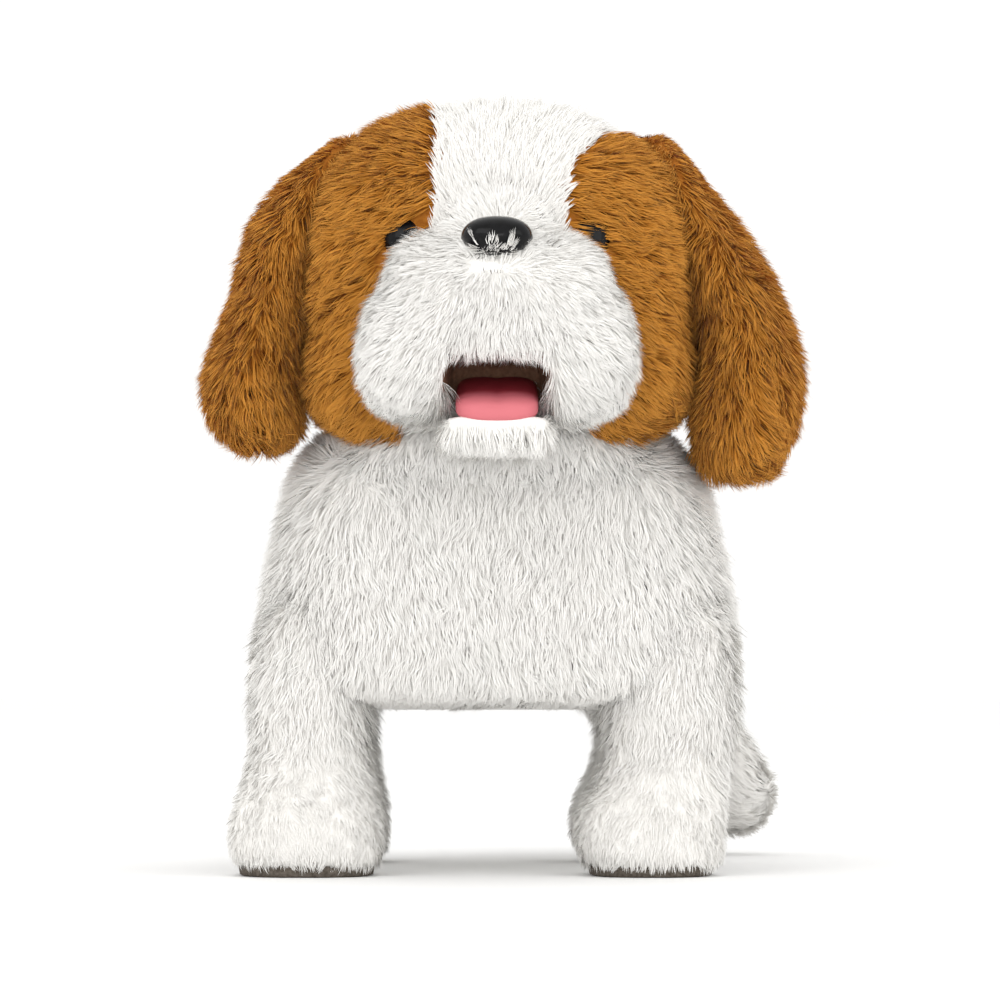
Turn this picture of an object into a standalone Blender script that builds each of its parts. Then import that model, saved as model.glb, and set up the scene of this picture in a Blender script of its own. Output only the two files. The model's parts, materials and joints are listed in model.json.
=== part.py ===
"""Walking plush puppy: a battery toy with a plastic chassis, a geared walking drive and plush skins.

The puppy faces -Y and stands on Z = 0. Every length is in metres.
"""

from math import atan2, cos, pi, radians, sin, sqrt

import bmesh
import bpy
from mathutils import Matrix, Vector

MM = 0.001
GAP = 0.0003          # between pieces that touch
RUN = 0.00006         # radial clearance of a running fit

# --- driving dimensions ------------------------------------------------------------------------
HIP_Y = 0.045         # front hips at -HIP_Y, rear hips at +HIP_Y
HIP_Z = 0.062
SWING = radians(16)   # half swing of a leg
ROD_PIN_RISE = 0.014  # rod pin above the hip
CORE_X = 0.0412       # inner face of a leg core
CORE_T = 0.004
ROD_X = 0.0457        # inner face of a coupling rod
ROD_T = 0.002
BAY_X = 0.0482        # half width of the space for cranks and rods

CHASSIS_X = 0.040
CHASSIS_Y = (-0.050, 0.056)
CHASSIS_Z = (0.047, 0.105)
SPLIT_Z = 0.0852      # plane between the chassis halves, through the crank shaft
WALL = 0.002

CELL_R = 0.0071       # AA cell
CELL_L = 0.0503
CELL_PITCH = 0.0149
CELL_Z = 0.0567

CRANK_Z = SPLIT_Z
CRANK_THROW = ROD_PIN_RISE * sin(SWING)
SHAFT_R = 0.002
AXLE_R = 0.001        # fixed axles of the gears
HIP_PIN_R = 0.0024
ROD_PIN_R = 0.0019
PIN_R = 0.0015        # neck, jaw and tail pins

MODULE = 0.001
PINION_TEETH = 10
MOTOR_STAGE_TEETH = 22
MIDDLE_STAGE_TEETH = 24
DRIVE_TEETH = 32

HEAD_C = (0.0, -0.052, 0.162)
HEAD_R = (0.054, 0.046, 0.048)
SKULL_R = (0.045, 0.037, 0.039)
SKULL_T = 0.002
MUZZLE_C = (0.0, -0.092, 0.146)
MUZZLE_R = (0.037, 0.028, 0.029)
EYE_AT = (0.0245, -0.0905, 0.1700)
EYE_R = 0.0075
NOSE_AT = (0.0, -0.1135, 0.1672)
NOSE_R = (0.0095, 0.0085, 0.0072)
MOUTH_X = 0.0171      # half width of the mouth cut
MOUTH_TOP = 0.1438
NECK_PIVOT = (0.0, -0.038, 0.117)
JAW_PIVOT = (0.0, -0.064, 0.127)
EAR_PIVOT = (0.047, -0.048, 0.196)
TAIL_PIVOT = (0.0, 0.0612, 0.062)
COVER_PIVOT = (0.0, -0.0293, 0.048)
BELLY_Z = 0.0445
SOLE_T = 0.003

WHITE = (0.86, 0.84, 0.79)
CARAMEL = (0.44, 0.165, 0.028)
COLOURS = {
    "white_plush": (WHITE, 0.95, 0.0),
    "brown_plush": (CARAMEL, 0.95, 0.0),
    "shell_plastic": ((0.75, 0.74, 0.70), 0.45, 0.0),
    "gear_plastic": ((0.88, 0.87, 0.82), 0.35, 0.0),
    "steel": ((0.62, 0.62, 0.64), 0.3, 1.0),
    "brass": ((0.72, 0.52, 0.22), 0.35, 1.0),
    "circuit": ((0.02, 0.16, 0.07), 0.5, 0.0),
    "black_plastic": ((0.012, 0.012, 0.013), 0.12, 0.0),
    "cell_wrap": ((0.03, 0.10, 0.30), 0.35, 0.2),
    "mouth_lining": ((0.10, 0.045, 0.02), 0.8, 0.0),
    "tongue": ((0.78, 0.22, 0.27), 0.55, 0.0),
    "sole": ((0.16, 0.14, 0.12), 0.9, 0.0),
    "black_wire": ((0.02, 0.02, 0.02), 0.5, 0.0),
}


# --- scene helpers -----------------------------------------------------------------------------
def clear_scene():
    for ob in list(bpy.data.objects):
        bpy.data.objects.remove(ob, do_unlink=True)


def collection(name):
    col = bpy.data.collections.new(name)
    bpy.context.scene.collection.children.link(col)
    return col


def material(slot):
    mat = bpy.data.materials.get(slot)
    if mat is None:
        mat = bpy.data.materials.new(slot)
        mat.use_nodes = True
        colour, roughness, metallic = COLOURS[slot]
        shader = mat.node_tree.nodes["Principled BSDF"]
        shader.inputs["Base Color"].default_value = (*colour, 1)
        shader.inputs["Roughness"].default_value = roughness
        shader.inputs["Metallic"].default_value = metallic
    return mat


def mm(*values):
    return tuple(v * MM for v in values)


class Kit:
    """The two collections, and the pivots that moving pieces hang on."""

    def __init__(self):
        self.parts = collection("plush_puppy")
        self.cutters = collection("cutters")
        self.pivots = {}

    def pivot(self, body, place):
        empty = bpy.data.objects.new(f"pivot_{body}", None)
        empty.empty_display_size = 0.01
        empty.location = place
        self.parts.objects.link(empty)
        self.pivots[body] = empty

    def add(self, name, bm, slot=None, body=None, smooth=True):
        """A part when it has a material slot, else a cutter. The mesh is given in world places."""
        mesh = bpy.data.meshes.new(name)
        bmesh.ops.recalc_face_normals(bm, faces=bm.faces)
        if bm.calc_volume(signed=True) < 0:
            bmesh.ops.reverse_faces(bm, faces=bm.faces)
        bm.to_mesh(mesh)
        bm.free()
        ob = bpy.data.objects.new(name, mesh)
        if slot is None:
            self.cutters.objects.link(ob)
            ob.hide_render = True
            ob.display_type = "WIRE"
            return ob
        self.parts.objects.link(ob)
        mesh.materials.append(material(slot))
        if smooth:
            mesh.shade_smooth()
            mesh.set_sharp_from_angle(angle=radians(35))
        if body:
            empty = self.pivots[body]
            mesh.transform(Matrix.Translation(-empty.location))
            ob.parent = empty
        return ob

    def cut(self, ob, *cutters, operation="DIFFERENCE"):
        """Boolean modifiers on ob, one for each cutter mesh."""
        for bm in cutters:
            tool = self.add(f"{ob.name}_tool_{len(ob.modifiers)}", bm)
            mod = ob.modifiers.new(f"{operation.lower()}_{len(ob.modifiers)}", "BOOLEAN")
            mod.operation = operation
            mod.object = tool
            mod.solver = "EXACT"
        return ob

    def join(self, ob, *pieces):
        return self.cut(ob, *pieces, operation="UNION")


# --- shapes ------------------------------------------------------------------------------------
def box(low, high, bevel=0.0, edges="all", segments=2):
    """A box between two corners, with all its edges, its upright ones or its upper ones rounded."""
    bm = bmesh.new()
    bmesh.ops.create_cube(bm, size=1)
    low, high = Vector(low), Vector(high)
    for v in bm.verts:
        v.co = Vector([low[i] + (v.co[i] + 0.5) * (high[i] - low[i]) for i in range(3)])
    if bevel:
        def wanted(e):
            a, b = (v.co for v in e.verts)
            upright = abs(a.z - b.z) > 1e-6
            upper = min(a.z, b.z) > high.z - 1e-6
            if edges == "upper":
                return upper or upright
            return edges == "all" or upright
        chosen = [e for e in bm.edges if wanted(e)]
        bmesh.ops.bevel(bm, geom=chosen, offset=bevel, segments=segments, affect="EDGES", profile=0.5)
    return bm


def cylinder(start, end, radius, radius_end=None, segments=14):
    """A round bar or cone between two points."""
    start, end = Vector(start), Vector(end)
    along = end - start
    bm = bmesh.new()
    bmesh.ops.create_cone(bm, cap_ends=True, segments=segments, radius1=radius,
                          radius2=radius if radius_end is None else radius_end, depth=along.length)
    turn = along.to_track_quat("Z", "Y").to_matrix().to_4x4()
    bm.transform(Matrix.Translation((start + end) / 2) @ turn)
    return bm


def bore(start, end, shaft, segments=12):
    """The hole that a shaft of this radius runs in. Its flats stand clear of the shaft."""
    return cylinder(start, end, (shaft + RUN) / cos(pi / segments), segments=segments)


def superellipsoid(centre, radii, power, around, rings):
    """A ball pushed towards a box by power."""
    bm = bmesh.new()
    bmesh.ops.create_uvsphere(bm, u_segments=around, v_segments=rings, radius=1)
    for v in bm.verts:
        n = v.co.normalized()
        reach = sum(abs(c) ** power for c in n) ** (-1 / power)
        v.co = Vector([centre[i] + radii[i] * n[i] * reach for i in range(3)])
    return bm


def ring(centre, half, power, points, side, up):
    """The points of a superellipse in the plane of side and up."""
    out = []
    for i in range(points):
        a = 2 * pi * i / points
        c, s = cos(a), sin(a)
        reach = (abs(c) ** power + abs(s) ** power) ** (-1 / power)
        out.append(Vector(centre) + Vector(side) * (half[0] * c * reach) + Vector(up) * (half[1] * s * reach))
    return out


def loft(rings):
    """A closed skin through rings of equally many points, with flat ends."""
    bm = bmesh.new()
    rows = [[bm.verts.new(p) for p in r] for r in rings]
    count = len(rows[0])
    for lower, upper in zip(rows, rows[1:]):
        for i in range(count):
            j = (i + 1) % count
            bm.faces.new((lower[i], lower[j], upper[j], upper[i]))
    bm.faces.new(rows[0][::-1])
    bm.faces.new(rows[-1])
    bmesh.ops.recalc_face_normals(bm, faces=bm.faces)
    return bm


def upright_loft(sections, power=2.6, points=16):
    """sections: (z, low x, high x, low y, high y), from the bottom up."""
    rings = []
    for z, x0, x1, y0, y1 in sections:
        centre = ((x0 + x1) / 2, (y0 + y1) / 2, z)
        rings.append(ring(centre, ((x1 - x0) / 2, (y1 - y0) / 2), power, points, (1, 0, 0), (0, 1, 0)))
    return loft(rings)


def prism(outline, x0, x1):
    """An outline of (y, z) points, carried along X from x0 to x1."""
    bm = bmesh.new()
    face = bm.faces.new([bm.verts.new((x0, y, z)) for y, z in outline])
    moved = bmesh.ops.extrude_face_region(bm, geom=[face])["geom"]
    verts = [g for g in moved if isinstance(g, bmesh.types.BMVert)]
    bmesh.ops.translate(bm, verts=verts, vec=(x1 - x0, 0, 0))
    return bm


def mirrored(bm):
    """The same mesh on the other side of X = 0."""
    bm.transform(Matrix.Scale(-1, 4, (1, 0, 0)))
    bmesh.ops.reverse_faces(bm, faces=bm.faces)
    return bm


def sided(bm, side):
    return mirrored(bm) if side < 0 else bm


def wire(kit, points, radius=0.0006):
    """The mesh of a wire: one closed tube through a few points."""
    curve = bpy.data.curves.new("wire", "CURVE")
    curve.dimensions = "3D"
    spline = curve.splines.new("POLY")
    path = smooth_path(points)
    spline.points.add(len(path) - 1)
    for node, place in zip(spline.points, path):
        node.co = (*place, 1)
    curve.bevel_depth = radius
    curve.bevel_resolution = 1
    curve.use_fill_caps = True
    guide = bpy.data.objects.new("wire_path", curve)
    kit.parts.objects.link(guide)
    evaluated = guide.evaluated_get(bpy.context.evaluated_depsgraph_get())
    mesh = bpy.data.meshes.new_from_object(evaluated)
    bm = bmesh.new()
    bm.from_mesh(mesh)
    bmesh.ops.remove_doubles(bm, verts=bm.verts, dist=1e-6)
    bpy.data.objects.remove(guide, do_unlink=True)
    return bm


def smooth_path(points, steps=2):
    """Points along a Catmull-Rom curve through the given ones."""
    p = [Vector(q) for q in points]
    p = [2 * p[0] - p[1]] + p + [2 * p[-1] - p[-2]]
    out = []
    for a, b, c, d in zip(p, p[1:], p[2:], p[3:]):
        for k in range(steps):
            t = k / steps
            out.append(0.5 * (2 * b + (c - a) * t + (2 * a - 5 * b + 4 * c - d) * t * t
                              + (3 * b - a - 3 * c + d) * t ** 3))
    return out + [p[-2]]


# --- gears -------------------------------------------------------------------------------------
def gear_outline(teeth, centre, phase):
    """Involute teeth with light backlash. phase is the direction of one tooth's middle."""
    pitch_r = teeth * MODULE / 2
    base_r = pitch_r * cos(radians(20))
    tip_r = pitch_r + 0.75 * MODULE
    root_r = pitch_r - 1.15 * MODULE
    half_tooth = pi / (2 * teeth) - 0.14 * MODULE / pitch_r

    def involute(r):
        roll = sqrt(max((r / base_r) ** 2 - 1, 0.0))
        return roll - atan2(roll, 1)

    radii = (root_r, tip_r) if root_r > base_r else (root_r, base_r, tip_r)
    side = [(r, half_tooth + involute(pitch_r) - involute(r)) for r in radii]
    points = []
    for t in range(teeth):
        middle = phase + 2 * pi * t / teeth
        for r, a in side:
            points.append((r, middle - a))
        for r, a in reversed(side):
            points.append((r, middle + a))
    return [(centre[0] + r * cos(a), centre[1] + r * sin(a)) for r, a in points]


def meshing_phase(teeth_a, phase_a, teeth_b, line):
    """The phase that puts a gap of gear b on the line of centres where gear a has a tooth.

    line is the direction from a to b. Along it, a's tooth angle decides b's gap angle.
    """
    offset = (line - phase_a) * teeth_a / teeth_b
    return line + pi + offset + pi / teeth_b


def beside(place, distance, degrees):
    """A point in the (y, z) plane at a distance and direction from another."""
    a = radians(degrees)
    return (place[0] + distance * cos(a), place[1] + distance * sin(a))


STAGE_LINES = (0.0, -25.0, -60.0)     # directions from crank to gear 2, gear 1 and the motor
CRANK_AT = (0.0, CRANK_Z)
GEAR2_AT = beside(CRANK_AT, (DRIVE_TEETH + PINION_TEETH) * MODULE / 2, STAGE_LINES[0])
GEAR1_AT = beside(GEAR2_AT, (MIDDLE_STAGE_TEETH + PINION_TEETH) * MODULE / 2, STAGE_LINES[1])
MOTOR_AT = beside(GEAR1_AT, (MOTOR_STAGE_TEETH + PINION_TEETH) * MODULE / 2, STAGE_LINES[2])


def at_x(x, place):
    return (x, place[0], place[1])


def make_drive(kit):
    line2, line1, line0 = (radians(d) for d in STAGE_LINES)
    phase_drive = 0.0
    phase_pinion2 = meshing_phase(DRIVE_TEETH, phase_drive, PINION_TEETH, line2)
    phase_wheel2 = 0.0
    phase_pinion1 = meshing_phase(MIDDLE_STAGE_TEETH, phase_wheel2, PINION_TEETH, line1)
    phase_wheel1 = 0.0
    phase_motor = meshing_phase(MOTOR_STAGE_TEETH, phase_wheel1, PINION_TEETH, line0)

    drive = kit.add("drive_gear", prism(gear_outline(DRIVE_TEETH, CRANK_AT, phase_drive),
                                        *mm(4.5, 9.0)), "gear_plastic", "crank", smooth=False)
    kit.join(drive, cylinder(at_x(0.0088, CRANK_AT), at_x(0.0115, CRANK_AT), 0.005))
    kit.cut(drive, cylinder(at_x(0.002, CRANK_AT), at_x(0.014, CRANK_AT), SHAFT_R + GAP, segments=12))
    kit.add("crank_shaft", cylinder(at_x(-0.0441, CRANK_AT), at_x(0.0441, CRANK_AT), SHAFT_R, segments=12),
            "steel", "crank")
    for side, name in ((-1, "crank_left"), (1, "crank_right")):
        disc = kit.add(name, sided(cylinder(at_x(CORE_X, CRANK_AT), at_x(CORE_X + 0.0028, CRANK_AT), 0.0075), side),
                       "gear_plastic", "crank")
        pin_at = (CRANK_AT[0], CRANK_AT[1] + side * CRANK_THROW)
        kit.join(disc, sided(cylinder(at_x(CORE_X + 0.002, pin_at), at_x(ROD_X - 0.0005, pin_at), 0.0015,
                                      segments=12), side))
        kit.cut(disc, sided(cylinder(at_x(CORE_X - 0.001, CRANK_AT), at_x(CORE_X + 0.005, CRANK_AT),
                                     SHAFT_R + GAP, segments=12), side))

    wheel2 = kit.add("middle_gear", prism(gear_outline(MIDDLE_STAGE_TEETH, GEAR2_AT, phase_wheel2),
                                          *mm(0, 3)), "gear_plastic", "middle_gear", smooth=False)
    kit.join(wheel2, prism(gear_outline(PINION_TEETH, GEAR2_AT, phase_pinion2), *mm(2.8, 10.5)))
    kit.cut(wheel2, bore(at_x(-0.002, GEAR2_AT), at_x(0.013, GEAR2_AT), AXLE_R))
    wheel1 = kit.add("first_gear", prism(gear_outline(MOTOR_STAGE_TEETH, GEAR1_AT, phase_wheel1),
                                         *mm(-5.5, -2.7)), "gear_plastic", "first_gear", smooth=False)
    kit.join(wheel1, prism(gear_outline(PINION_TEETH, GEAR1_AT, phase_pinion1), *mm(-2.9, 3.6)))
    kit.cut(wheel1, bore(at_x(-0.008, GEAR1_AT), at_x(0.006, GEAR1_AT), AXLE_R))
    pinion = kit.add("motor_pinion", prism(gear_outline(PINION_TEETH, MOTOR_AT, phase_motor),
                                           *mm(-6, -2.2)), "brass", "motor_rotor", smooth=False)
    kit.join(pinion, cylinder(at_x(-0.0079, MOTOR_AT), at_x(-0.0058, MOTOR_AT), 0.001, segments=12))


def make_gearbox(kit):
    plate = [mm(y, z) for y, z in ((-17, 66.4), (34, 66.4), (34, 57), (52, 57), (52, 100.5), (-17, 100.5))]
    frame = kit.add("gearbox_frame", prism(plate, *mm(-8, -6.5)), "shell_plastic")
    kit.join(frame, box(mm(12.5, -17, 66.4), mm(14, 52, 100.5)))
    for y, z in ((-12.2, 69.3), (48.7, 95.4), (-14.4, 97.9)):
        kit.join(frame, cylinder(mm(-7, y, z), mm(13, y, z), 0.0018, segments=12))
    for place in (GEAR2_AT, GEAR1_AT):
        kit.join(frame, cylinder(at_x(-0.0075, place), at_x(0.0135, place), AXLE_R, segments=12))
    kit.cut(frame, bore(at_x(-0.010, CRANK_AT), at_x(0.016, CRANK_AT), SHAFT_R))
    kit.cut(frame, cylinder(at_x(-0.010, MOTOR_AT), at_x(-0.005, MOTOR_AT), 0.0022, segments=12))
    y, z = MOTOR_AT
    motor = kit.add("motor", cylinder((-0.0333, y, z), (-0.0083, y, z), 0.0101, segments=20), "steel")
    for side in (-1, 1):
        kit.cut(motor, box((-0.035, y + min(side * 0.0077, side * 0.02), z - 0.02),
                           (-0.005, y + max(side * 0.0077, side * 0.02), z + 0.02)))


# --- chassis -----------------------------------------------------------------------------------
def leg_places():
    """(name, side, y) of each leg."""
    return (("front_left", -1, -HIP_Y), ("front_right", 1, -HIP_Y),
            ("rear_left", -1, HIP_Y), ("rear_right", 1, HIP_Y))


POSTS = ((-0.031, -0.041), (0.031, -0.041), (0.0288, 0.0485))


def make_chassis(kit):
    (y0, y1), (z0, z1) = CHASSIS_Y, CHASSIS_Z
    lower = kit.add("chassis_lower", box((-CHASSIS_X, y0, z0), (CHASSIS_X, y1, SPLIT_Z - GAP / 2), 0.004,
                                         "upright"), "shell_plastic")
    kit.cut(lower, box((-CHASSIS_X + WALL, y0 + WALL, z0 + WALL), (CHASSIS_X - WALL, y1 - WALL, z1), 0.002,
                       "upright", 1))
    kit.join(lower, box(mm(-26.5, -32, 48), mm(26.5, 29.5, 65.7)),
             cylinder(mm(0, 32.6, 49.4), mm(0, 32.6, 58.5), 0.0036, segments=12))
    kit.cut(lower, box(mm(-23.2, -27.7, 40), mm(23.2, 27.7, 64.2)),
            box(mm(-25.2, -30.8, 40), mm(25.2, 37.1, 49.4)),
            cylinder(mm(0, 32.6, 45), mm(0, 32.6, 57), 0.0021, segments=12),
            box(mm(15.6, 40.3, 45), mm(23.4, 43.7, 50)))
    for _, side, y in leg_places():
        kit.join(lower, sided(cylinder((0.0385, y, HIP_Z), (0.0458, y, HIP_Z), HIP_PIN_R, segments=12), side),
                 sided(cylinder((CORE_X + CORE_T + GAP, y, HIP_Z), (0.0474, y, HIP_Z), 0.0034, 0.0026, 12), side))
    for x, y in POSTS:
        kit.join(lower, cylinder((x, y, 0.048), (x, y, 0.0555), 0.0042, segments=12))
        kit.cut(lower, cylinder((x, y, 0.045), (x, y, 0.058), 0.0013 + GAP, segments=12),
                cylinder((x, y, 0.045), (x, y, 0.0512), 0.0026 + GAP, segments=12))
    kit.join(lower, box(mm(-5, 55, 55.5), mm(5, 65.5, 57.7)), box(mm(-5, 55, 66.3), mm(5, 65.5, 68.5)))
    kit.cut(lower, bore(mm(0, 61.2, 50), mm(0, 61.2, 75), PIN_R),
            box(mm(-7.5, 52, 58), mm(7.5, 58, 66)),
            bore(at_x(-0.05, CRANK_AT), at_x(0.05, CRANK_AT), SHAFT_R))

    upper = kit.add("chassis_upper", box((-CHASSIS_X, y0, SPLIT_Z + GAP / 2), (CHASSIS_X, y1, z1), 0.004,
                                         "upper"), "shell_plastic")
    kit.cut(upper, box((-CHASSIS_X + WALL, y0 + WALL, z0), (CHASSIS_X - WALL, y1 - WALL, z1 - WALL), 0.002,
                       "upper", 1))
    for x, y in POSTS:
        kit.join(upper, cylinder((x, y, 0.0558), (x, y, z1 - 0.001), 0.0034, segments=12))
        kit.cut(upper, cylinder((x, y, 0.050), (x, y, 0.066), 0.0013 + GAP, segments=12))
    kit.join(upper, box(mm(-7.5, -45, 104), mm(7.5, -31, 122.5), 0.002, "upper"))
    kit.cut(upper, cylinder(mm(-20, -38, 117), mm(20, -38, 117), PIN_R + GAP, segments=12),
            bore(at_x(-0.05, CRANK_AT), at_x(0.05, CRANK_AT), SHAFT_R),
            cylinder(mm(0, -33.6, 98), mm(0, -33.6, 130), 0.0016, segments=12))
    for k, (x, y) in enumerate(POSTS, 1):
        screw = kit.add(f"chassis_screw_{k}", cylinder((x, y, 0.0493), (x, y, 0.0512 - GAP), 0.0026, segments=12),
                        "steel")
        kit.join(screw, cylinder((x, y, 0.0505), (x, y, 0.065), 0.0013, segments=12))
    kit.add("neck_pin", cylinder(mm(-12, -38, 117), mm(12, -38, 117), PIN_R, segments=12), "steel")


def make_electrics(kit):
    half = CELL_L / 2
    for name, x, turn in (("cell_left", -CELL_PITCH, 1), ("cell_middle", 0.0, -1), ("cell_right", CELL_PITCH, 1)):
        cell = kit.add(name, cylinder((x, -half + (0.0015 if turn < 0 else 0), CELL_Z),
                                      (x, half - (0.0015 if turn > 0 else 0), CELL_Z), CELL_R, segments=16),
                       "cell_wrap")
        tip = turn * (half - 0.002)
        kit.join(cell, cylinder((x, tip, CELL_Z), (x, turn * half, CELL_Z), 0.0027, segments=12))
    for name, y in (("contact_front", -26.9), ("contact_rear", 26.3)):
        plate = kit.add(name, box(mm(-22, y, 50.4), mm(22, y + 0.6, 63.4)), "brass")
        toward = 1 if y < 0 else -1
        for x in (-CELL_PITCH, 0.0, CELL_PITCH):
            face = (y + (0.5 if toward > 0 else 0.1)) * MM
            kit.join(plate, cylinder((x, face, CELL_Z), (x, face + toward * 0.0008, CELL_Z), 0.0032, 0.002, 12))
    board = kit.add("circuit_board", box(mm(25, -22, 67), mm(26.6, 26, 97)), "circuit", smooth=False)
    kit.join(board, box(mm(26.4, -18, 80), mm(28.4, -7, 91)), box(mm(26.4, 12, 72), mm(30, 19, 79)))
    kit.cut(board, cylinder(at_x(0.020, CRANK_AT), at_x(0.030, CRANK_AT), 0.0035, segments=12))
    speaker = kit.add("speaker", cylinder(mm(0, -47.4, 80), mm(0, -44.6, 80), 0.014, segments=18), "black_plastic")
    kit.join(speaker, cylinder(mm(0, -45, 80), mm(0, -40.5, 80), 0.012, 0.007, 18))
    kit.add("switch_body", box(mm(12, 38, 49.3), mm(24, 46, 54.2)), "black_plastic", smooth=False)
    knob = kit.add("switch_knob", box(mm(16, 40.7, 46), mm(19.6, 43.3, 49)), "black_plastic", "switch", False)
    kit.cut(knob, box(mm(17.4, 40, 45), mm(18.2, 44, 46.6)))
    harness = kit.add("wire_harness", box(mm(27, -17, 70), mm(32, -10, 76), 0.0004, segments=1), "black_wire")
    to_motor = [mm(30, -12, 75), mm(31, -10, 84), mm(30, 6, 96), mm(18, 22, 101.8), mm(0, 26, 101.8),
                mm(-12, 29, 101.6), mm(-26, 35, 95), mm(-33, 40, 84), mm(-34.5, 42, 70)]
    to_cells = [mm(30, -13.5, 71), mm(32, -12, 67), mm(34, -4, 61), mm(31, 4, 56), mm(28, 10, 55)]
    to_speaker = [mm(31, -15, 73), mm(33, -24, 78), mm(26, -34, 84), mm(12, -38, 82), mm(8.3, -40, 80)]
    kit.join(harness, wire(kit, to_motor), wire(kit, to_cells), wire(kit, to_speaker))


def make_battery_cover(kit):
    cover = kit.add("battery_cover", box(mm(-24.8, -30, 47), mm(24.8, 36.6, 49), 0.0006, segments=1),
                    "shell_plastic", "cover")
    kit.cut(cover, cylinder(mm(0, 32.6, 45), mm(0, 32.6, 51), 0.0014 + GAP, segments=12),
            cylinder(mm(0, 32.6, 45), mm(0, 32.6, 48.2), 0.0032, segments=12))
    for k in range(4):
        y = -18 + 3.0 * k
        kit.cut(cover, box(mm(-9, y, 46), mm(9, y + 1.2, 47.6)))
    screw = kit.add("cover_screw", cylinder(mm(0, 32.6, 47.1), mm(0, 32.6, 47.9), 0.0028, segments=12), "steel",
                    "cover")
    kit.join(screw, cylinder(mm(0, 32.6, 47.5), mm(0, 32.6, 55), 0.0014, segments=12))


# --- legs --------------------------------------------------------------------------------------
def leg_core_solid(kit, name, side, y, grow, slot=None, body=None):
    """The plastic arm of a leg, or with grow the space it takes in the plush."""
    z_low = SOLE_T + GAP - (0.002 if grow else 0)
    x0, x1 = CORE_X - grow, CORE_X + CORE_T + grow
    arm = box((x0, y - 0.006 - grow, z_low), (x1, y + 0.006 + grow, HIP_Z + 0.004))
    foot = box((0.037 - grow, y - 0.013 - grow, z_low), (0.057 + grow, y + 0.013 + grow, 0.0066 + grow))
    if slot is None:
        return arm, foot
    core = kit.add(name, sided(arm, side), slot, body)
    kit.join(core, sided(foot, side),
             sided(cylinder((x0, y, HIP_Z), (x1, y, HIP_Z), 0.009, segments=12), side),
             sided(box((x0, y - 0.0035, HIP_Z), (x1, y + 0.0035, HIP_Z + ROD_PIN_RISE)), side),
             sided(cylinder((x0, y, HIP_Z + ROD_PIN_RISE), (x1, y, HIP_Z + ROD_PIN_RISE), 0.0045, segments=12), side),
             sided(cylinder((x1 - 0.001, y, HIP_Z + ROD_PIN_RISE), (ROD_X + ROD_T + 0.0002, y, HIP_Z + ROD_PIN_RISE),
                            ROD_PIN_R, segments=12), side))
    kit.cut(core, sided(bore((x0 - 0.001, y, HIP_Z), (x1 + 0.001, y, HIP_Z), HIP_PIN_R), side))
    return core


def make_leg(kit, name, side, y):
    body = f"leg_{name}"
    leg_core_solid(kit, f"leg_core_{name}", side, y, 0.0, "shell_plastic", body)
    base = SOLE_T + GAP
    disc_z = (HIP_Z + 0.0195, HIP_Z + 0.0135, HIP_Z)
    sections = [
        (base, 0.0285, 0.0672, y - 0.0225, y + 0.0165),
        (0.009, 0.0265, 0.0685, y - 0.0250, y + 0.0180),
        (0.018, 0.0268, 0.0685, y - 0.0245, y + 0.0180),
        (0.027, 0.0310, 0.0675, y - 0.0200, y + 0.0170),
        (0.034, 0.0345, 0.0668, y - 0.0170, y + 0.0160),
        (0.0395, 0.0400, 0.0664, y - 0.0165, y + 0.0160),
        (0.0425, 0.0486, 0.0662, y - 0.0170, y + 0.0165),
        (disc_z[2], 0.0486, 0.0655, y - 0.0195, y + 0.0195),
        (disc_z[1], 0.0486, 0.0640, y - 0.0150, y + 0.0150),
        (disc_z[0], 0.0486, 0.0620, y - 0.0060, y + 0.0060),
    ]
    plush = kit.add(f"leg_plush_{name}", sided(upright_loft(sections), side), "white_plush", body)
    kit.cut(plush, *(sided(part, side) for part in leg_core_solid(kit, "", side, y, GAP)))
    sole = upright_loft([(0.0, 0.030, 0.0660, y - 0.0210, y + 0.0150),
                         (SOLE_T, 0.0292, 0.0668, y - 0.0220, y + 0.0160)], points=24)
    kit.add(f"sole_{name}", sided(sole, side), "sole", body)


def make_rod(kit, name, side):
    z = HIP_Z + ROD_PIN_RISE
    rod = kit.add(f"coupling_rod_{name}", sided(box((ROD_X, -HIP_Y, z - 0.003), (ROD_X + ROD_T, HIP_Y, z + 0.003)),
                                                side), "gear_plastic", f"rod_{name}")
    for y in (-HIP_Y, HIP_Y):
        kit.join(rod, sided(cylinder((ROD_X, y, z), (ROD_X + ROD_T, y, z), 0.0042, segments=12), side))
    kit.join(rod, sided(box((ROD_X, -0.005, z - 0.001), (ROD_X + ROD_T, 0.005, CRANK_Z + 0.0085)), side))
    for y in (-HIP_Y, HIP_Y):
        kit.cut(rod, sided(bore((ROD_X - 0.001, y, z), (ROD_X + 0.003, y, z), ROD_PIN_R), side))
    kit.cut(rod, sided(box((ROD_X - 0.001, -0.0018, CRANK_Z - 0.0058), (ROD_X + 0.003, 0.0018, CRANK_Z + 0.0058)),
                       side))


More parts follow.
